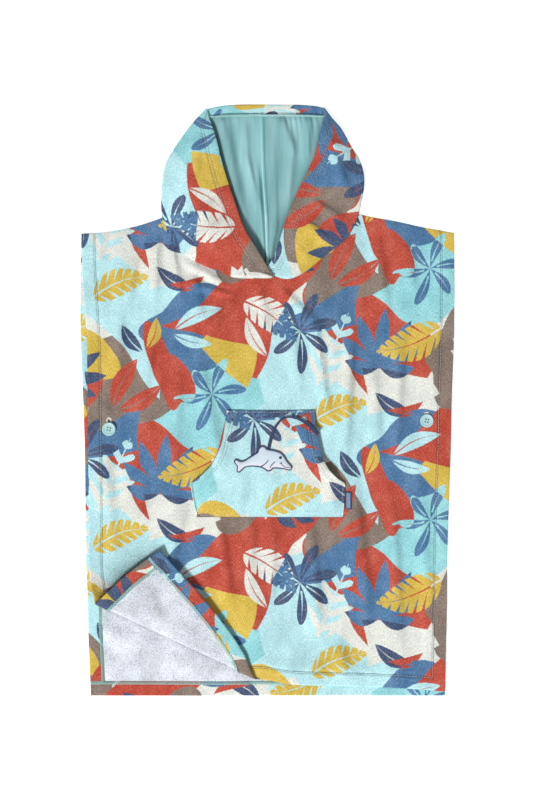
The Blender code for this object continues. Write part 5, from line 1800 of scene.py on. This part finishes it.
BUTTONHOLE_LENGTH = 21.0
BUTTONHOLE_TOPS = {"left": -22.6, "right": -15.3}
BUTTONHOLE_PITCH = 0.75
BUTTONHOLE_REACH = (1.3, 3.6)  # of its stitches, from the middle of the slit
SATIN_RADIUS = 0.42
SATIN_RISE = 0.5
# the near-black strip of painted shade in each slit: how deep, how wide in the middle
SLIT_DEPTH = 0.7
SLIT_RADIUS = 1.25


def build_buttonholes():
    """Satin stitches that stand away from a slit on both sides and fan round its ends, and a
    near-black strip in the slit as painted shade, widest in the middle."""
    inner, outer = BUTTONHOLE_REACH
    half = BUTTONHOLE_LENGTH / 2 - outer
    y = np.arange(-half, half, BUTTONHOLE_PITCH)
    turn = np.linspace(0.1, math.pi - 0.1, 13)
    fan = np.column_stack([np.cos(turn), np.sin(turn)])
    middle = np.concatenate([np.column_stack([0 * y, y])] * 2 + [np.tile([0, half], (13, 1)),
                                                                 np.tile([0, -half], (13, 1))])
    away = np.concatenate([np.tile([1, 0], (len(y), 1)), np.tile([-1, 0], (len(y), 1)), fan, -fan])
    t = np.linspace(0, 1, len(STITCH_TAPER))
    reach = inner + (outer - inner) * t
    holes = np.array([(x, BUTTONHOLE_TOPS[side] - BUTTONHOLE_LENGTH / 2)
                      for side, (x, _) in BUTTON_CENTRES.items()])
    flat = middle[:, None] + away[:, None] * reach[:, None]
    flat = np.concatenate([flat + hole for hole in holes])
    centre, up = surface_frame(flat[..., 0], flat[..., 1], front_top)
    centre += up * (SATIN_RISE * np.sin(math.pi * t) ** 0.5)[:, None]
    satin = thread_mesh("buttonhole_stitches", centre, up, SATIN_RADIUS * STITCH_TAPER, "cream_thread")
    along = np.linspace(-half - inner, half + inner, 9)
    flat = holes[:, None] + np.column_stack([0 * along, along])
    centre, up = surface_frame(flat[..., 0], flat[..., 1], front_top)
    centre -= up * SLIT_DEPTH
    width = SLIT_RADIUS * np.sqrt(1.02 - (along / along[-1]) ** 2)
    slit = thread_mesh("buttonhole_slit_painted_shade", centre, up, width, "eye_black_and_painted_shade", sides=8)
    return satin, slit


BUTTON_THREAD_RADIUS = 0.16


def build_button_thread():
    """Two threads from hole to hole of each button, which go in at their ends, and dark discs as
    painted shade at the bottom of its holes."""
    reach = BUTTON_HOLE_SPACING / 2
    turn = math.radians(BUTTON_TURN)
    right, up_way = np.array([math.cos(turn), math.sin(turn)]), np.array([-math.sin(turn), math.cos(turn)])
    t = np.linspace(-0.9, 0.9, 9)
    rise = 0.3 * np.cos(t * math.pi / 2) ** 0.5 - 0.9 * smoothstep(0.55, 0.9, np.abs(t))
    lines, holes = [], []
    for side, (x, y) in BUTTON_CENTRES.items():
        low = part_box(f"button_{side}")[0][2] / MM
        for across in (-reach, reach):
            flat = [x, y] + right * across + up_way * (t * reach)[:, None]
            lines.append(np.column_stack([flat, low + BUTTON_DISH + rise]))
            for along in (-reach, reach):
                foot = [x, y] + right * across + up_way * along
                holes.append([(*foot, low + level) for level in (0.2, 0.5, 0.8)])
    centre, bottoms = np.array(lines), np.array(holes)
    up = np.zeros_like(centre)
    up[..., 2] = 1.0
    sideways = np.zeros_like(bottoms)
    sideways[..., 0] = 1.0
    thread = thread_mesh("button_thread", centre, up, np.full(9, BUTTON_THREAD_RADIUS), "mint_thread")
    return thread, thread_mesh("button_hole_painted_shade", bottoms, sideways, np.full(3, BUTTON_HOLE_RADIUS - 0.05),
                               "eye_black_and_painted_shade", sides=12)


# ---- trim

DOLPHIN_SPINE = [(-37.0, -87.5), (-28.0, -84.5), (-17.0, -80.0), (-6.0, -77.5), (5.0, -78.5),
                 (14.0, -81.0), (22.0, -85.5), (28.5, -89.5)]
PATCH_RINGS = np.array([1, 0.995, 0.97, 0.92, 0.84, 0.73, 0.6, 0.46, 0.32, 0.2, 0.1])  # of its reach
PATCH_RIM = 0.25  # how high its outline stands, as a share of its thickness


def build_dolphin():
    """A padded dolphin: rings shrink from its outline toward its spine, and rise as an ellipse's
    quarter does. A ring and a filled core close it above and below."""
    outline = smooth_dense([*DOLPHIN, DOLPHIN[0]], steps=7)[:-1]
    spine = smooth_dense(DOLPHIN_SPINE)
    nearest = np.linalg.norm(outline[:, None] - spine[None], axis=-1).argmin(axis=1)
    core = spine[nearest]
    core = (np.roll(core, 3, axis=0) + core + np.roll(core, -3, axis=0)) / 3
    flat = core[None] + (outline - core)[None] * PATCH_RINGS[:, None, None]
    ground = pocket_top(flat[..., 0], flat[..., 1]) + CLEAR
    dome = CHARM_THICKNESS * (PATCH_RIM + (1 - PATCH_RIM) * np.sqrt(1 - PATCH_RINGS**2))[:, None]
    top = np.concatenate([flat, (ground + dome)[..., None]], axis=-1)
    bottom = np.concatenate([flat, ground[..., None]], axis=-1)
    rings = np.concatenate([bottom[::-1], top])
    index = np.arange(rings[..., 0].size).reshape(rings.shape[:2])
    mesh = bpy.data.meshes.new("dolphin_patch")
    faces = ring_quads(index).tolist() + [index[0][::-1].tolist(), index[-1].tolist()]
    mesh.from_pydata(rings.reshape(-1, 3) * MM, [], faces)
    mesh.materials.append(MATERIALS["charm_felt"])
    mesh.shade_smooth()
    patch = placed("dolphin_patch", mesh)
    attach(patch, "root")
    return patch, outline


DOLPHIN_LINES = [  # points of each, and its height over the patch's foot
    ([(31.0, -90.2), (26.4, -89.8), (21.8, -88.0), (18.4, -84.2)], 2.2),  # mouth
    ([(16.6, -84.8), (18.4, -84.0), (19.8, -82.6)], 2.5),  # cheek
    ([(-8.6, -88.8), (-4.4, -86.4), (-0.4, -82.6), (1.4, -79.6)], 2.9),  # flipper
    ([(3.8, -90.0), (6.2, -86.2), (10.4, -82.2)], 2.8),  # the flipper's tip
    ([(-38.0, -85.6), (-35.0, -86.8), (-32.4, -85.8)], 2.0),  # fold of the tail
]
OUTLINE_HEIGHT = 1.0
OUTLINE_RADIUS = 1.05
LINE_RADIUS = 0.6
LINE_END = 0.4  # of that radius, at a line's ends


def dolphin_lines(outline):
    """The satin outline and the lines on the dolphin as navy cords, at their heights over the
    pocket's face."""
    closed = np.vstack([outline, outline[:2]])
    cords = [(spaced(closed, np.linspace(0, 1, 300)), OUTLINE_HEIGHT, OUTLINE_RADIUS)]
    cords += [(spaced(smooth_dense(points), np.linspace(0, 1, 24)), lift, LINE_RADIUS)
              for points, lift in DOLPHIN_LINES]
    pieces = []
    for number, (path, lift, radius) in enumerate(cords):
        height = pocket_top(path[:, 0], path[:, 1]) + CLEAR + lift
        centre = np.column_stack([path, height])[None]
        up = np.zeros_like(centre)
        up[..., 2] = 1.0
        size = np.full(len(path), radius)
        if number:
            size[[0, -1]] = radius * LINE_END
        pieces.append(thread_mesh(f"dolphin_line_{number}", centre, up, size, "navy_thread", sides=8))
    return pieces


EYE_CENTRE = (17.6, -76.8)
EYE_RADIUS = 1.9
EYE_HEIGHT = 0.9
EYE_SIDES = 16


def build_eye():
    """A flattened ball: rings from pole to pole, as wide as a cosine and as high as a sine, about
    half as high as wide."""
    around = np.linspace(0, 2 * math.pi, EYE_SIDES + 1)[:-1]
    rise = np.linspace(-80, 80, 9) * math.pi / 180
    x, y = EYE_CENTRE
    level = pocket_top(np.array([x]), np.array([y]))[0] + GAP + CHARM_THICKNESS - 0.1
    ring = np.stack([x + EYE_RADIUS * np.cos(rise)[:, None] * np.cos(around),
                     y + EYE_RADIUS * np.cos(rise)[:, None] * np.sin(around),
                     level + EYE_HEIGHT * np.sin(rise)[:, None] * np.ones_like(around)], axis=-1)
    index = np.arange(ring[..., 0].size).reshape(ring.shape[:2])
    pick = [[0, k, k + 1, k + 2] for k in range(1, EYE_SIDES - 2, 2)]
    caps = np.concatenate([index[0][pick][:, ::-1], index[-1][pick]])
    cells = np.concatenate([ring_quads(index), caps])
    return new_piece("dolphin_eye", ring.reshape(-1, 3), cells, ["eye_black_and_painted_shade"])


RIBBON_SPREAD = np.array([-0.5, -0.48, -0.42, -0.3, -0.15, 0, 0.15, 0.3, 0.42, 0.48, 0.5])
RIBBON_RISE = (0.5, 1.6, 0.22)  # at its ends, how much more in its middle, its tilt there


def build_ribbon():
    """A flat band carried along its path: it stands a little off the pocket between its ends, by a
    sine, leans over to one side there, and its edges are rounded."""
    line = spaced(smooth_dense(RIBBON_PATH), np.linspace(0, 1, 70))
    along = unit(np.gradient(line, axis=0))
    across = np.column_stack([-along[:, 1], along[:, 0]])
    t = np.linspace(0, 1, len(line))[:, None]
    width = table_interp(t, RIBBON_WIDTHS)
    spread = RIBBON_SPREAD * width
    flat = line[:, None] + across[:, None] * spread[..., None]
    low, more, tilt = RIBBON_RISE
    lift = low + more * np.sin(math.pi * t) ** 1.5 + tilt * spread * np.sin(math.pi * t)
    height = pocket_top(flat[..., 0], flat[..., 1]) + RIBBON_THICKNESS / 2 + lift
    middle = np.concatenate([flat, height[..., None]], axis=-1)
    half = RIBBON_THICKNESS / 2 * np.maximum(round_edge(width / 2 - np.abs(spread), 0.5), 0.1)
    sheet = cloth_sheet(middle, half, half)
    return cloth_wall("charm_ribbon_band", sheet, ["navy_ribbon"], (0, 0), (flat, flat))


LABEL_CLEAR = 1.0  # from the pocket's edge
WHIPPING_INSET = 0.6


def build_label():
    """A small folded label: a rounded wall on the front panel, whipped with thread all round."""
    wide, tall = LABEL_SIZE
    _, start = pocket_edges(np.array([LABEL_Y]))
    left = start[0] + LABEL_CLEAR
    low = LABEL_Y - tall / 2
    steps = np.array([0, 0.1, 0.3, 0.6, 1.0])
    x = left + np.r_[steps, np.linspace(1.0, wide - 1.0, 8)[1:-1], wide - steps[::-1]]
    y = low + np.r_[steps, np.linspace(1.0, tall - 1.0, 14)[1:-1], tall - steps[::-1]]
    x, y = np.meshgrid(x, y)
    edge = np.minimum(np.minimum(x - left, left + wide - x), np.minimum(y - low, low + tall - y))
    half = LABEL_THICKNESS / 2 * np.maximum(round_edge(edge, 0.8), 0.1)
    height = front_top(x, y) + CLEAR + LABEL_THICKNESS / 2
    sheet = cloth_sheet(np.stack([x, y, height], axis=-1), half, half)
    flat = np.stack([x, y], axis=-1)
    label = cloth_wall("side_label_cloth", sheet, ["blue_label"], (0, 0), (flat, flat))
    corners = np.array([(left, low), (left + wide, low), (left + wide, low + tall), (left, low + tall),
                        (left, low)])
    inset = np.array([(1, 1), (-1, 1), (-1, -1), (1, -1), (1, 1)]) * WHIPPING_INSET
    path = spaced(corners + inset, np.linspace(0, 1, 120))
    points, normal = surface_frame(path[:, 0], path[:, 1], front_top)
    points[:, 2] += CLEAR + LABEL_THICKNESS * 0.8
    across = unit(np.cross(normal, np.gradient(points, axis=0)))
    run = overlock_run(points, normal, across, width=2.0, pitch=0.75, lift=0.32)
    return label, sew("side_label_whipping", [run], 0.36, "navy_thread")


# ---- everything

front, front_sheet = build_front_panel()
back, back_sheet = build_back_panel()
hood_left, left_sheet = build_hood("left", HOOD_LEFT, HOOD_LEFT_CREASES)
hood_right, right_sheet = build_hood("right", HOOD_RIGHT, HOOD_RIGHT_CREASES)
lining_left, lining_left_sheet = build_lining("left", HOOD_LEFT, left_sheet)
lining_right, lining_right_sheet = build_lining("right", HOOD_RIGHT, right_sheet)
pocket, pocket_sheet = build_pocket()
body_stitches, body_serging = sew_body(front_sheet, back_sheet)
hood_stitches, hood_serging = sew_hood(left_sheet, right_sheet,
                                       (lining_left_sheet, lining_right_sheet))
pocket_stitches = sew_pocket(pocket_sheet)
buttonhole_satin, buttonhole_painted_shade = build_buttonholes()
button_thread, button_hole_painted_shade = build_button_thread()
dolphin, dolphin_outline = build_dolphin()
dolphin_cords = dolphin_lines(dolphin_outline)
eye = build_eye()
ribbon = build_ribbon()
label, label_thread = build_label()

REPLACED = [(front, "front_panel"), (back, "back_panel"), (hood_left, "hood_left"),
            (hood_right, "hood_right"), (lining_left, "hood_lining_left"),
            (lining_right, "hood_lining_right"), (pocket, "pouch_pocket"), (dolphin, "dolphin_charm"),
            (ribbon, "charm_ribbon"), (label, "side_label")]
for piece, node in REPLACED:
    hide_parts(node)

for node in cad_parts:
    if node.startswith("button_"):
        for material_slot in bpy.data.objects[node].material_slots:
            material_slot.material = MATERIALS["mint_button"]

# ---- the studio

CAMERA_HEIGHT = 2.6
FRAME_TALL = 1.072  # what the picture's long side shows, in metres
VIEW_CENTRE = (-0.0009, 0.0001)


FLOOR_HALF = 3.0
FLOOR_DROP = 0.0005


def add_floor():
    """A level table just under the cloth."""
    corners = [(x * FLOOR_HALF, y * FLOOR_HALF, 0) for x, y in ((-1, -1), (1, -1), (1, 1), (-1, 1))]
    mesh = bpy.data.meshes.new("floor")
    mesh.from_pydata(corners, [], [(0, 1, 2, 3)])
    mesh.materials.append(MATERIALS["studio_floor"])
    floor = placed("floor", mesh)
    floor.location.z = -FLOOR_DROP


def add_light(name, place, size, power):
    """A round area light at a place, aimed at the origin."""
    light = bpy.data.lights.new(name, "AREA")
    light.shape = "DISK"
    light.size = size
    light.energy = power
    lamp = placed(name, light)
    lamp.location = place
    aim = -np.array(place)
    lamp.rotation_euler = (math.atan2(np.hypot(aim[0], aim[1]), -aim[2]), 0,
                           math.atan2(aim[1], aim[0]) - math.pi / 2)


def add_camera():
    """A camera straight above, whose lens shows the frame's long side from its height."""
    camera = bpy.data.cameras.new("camera")
    camera.sensor_width = 36.0
    camera.lens = camera.sensor_width * CAMERA_HEIGHT / FRAME_TALL
    holder = placed("camera", camera)
    holder.location = (*VIEW_CENTRE, CAMERA_HEIGHT)
    bpy.context.scene.camera = holder


add_floor()
add_light("key", (-3.9, -6.0, 8.0), size=2.6, power=1190)
add_light("fill", (4.0, 5.0, 8.5), size=5.0, power=90)
add_camera()
world = bpy.data.worlds.new("studio")
world.use_nodes = True
world.node_tree.nodes["Background"].inputs["Color"].default_value = (1.0, 1.0, 1.0, 1)
world.node_tree.nodes["Background"].inputs["Strength"].default_value = 0.25
bpy.context.scene.world = world
bpy.context.scene.view_settings.view_transform = "Standard"
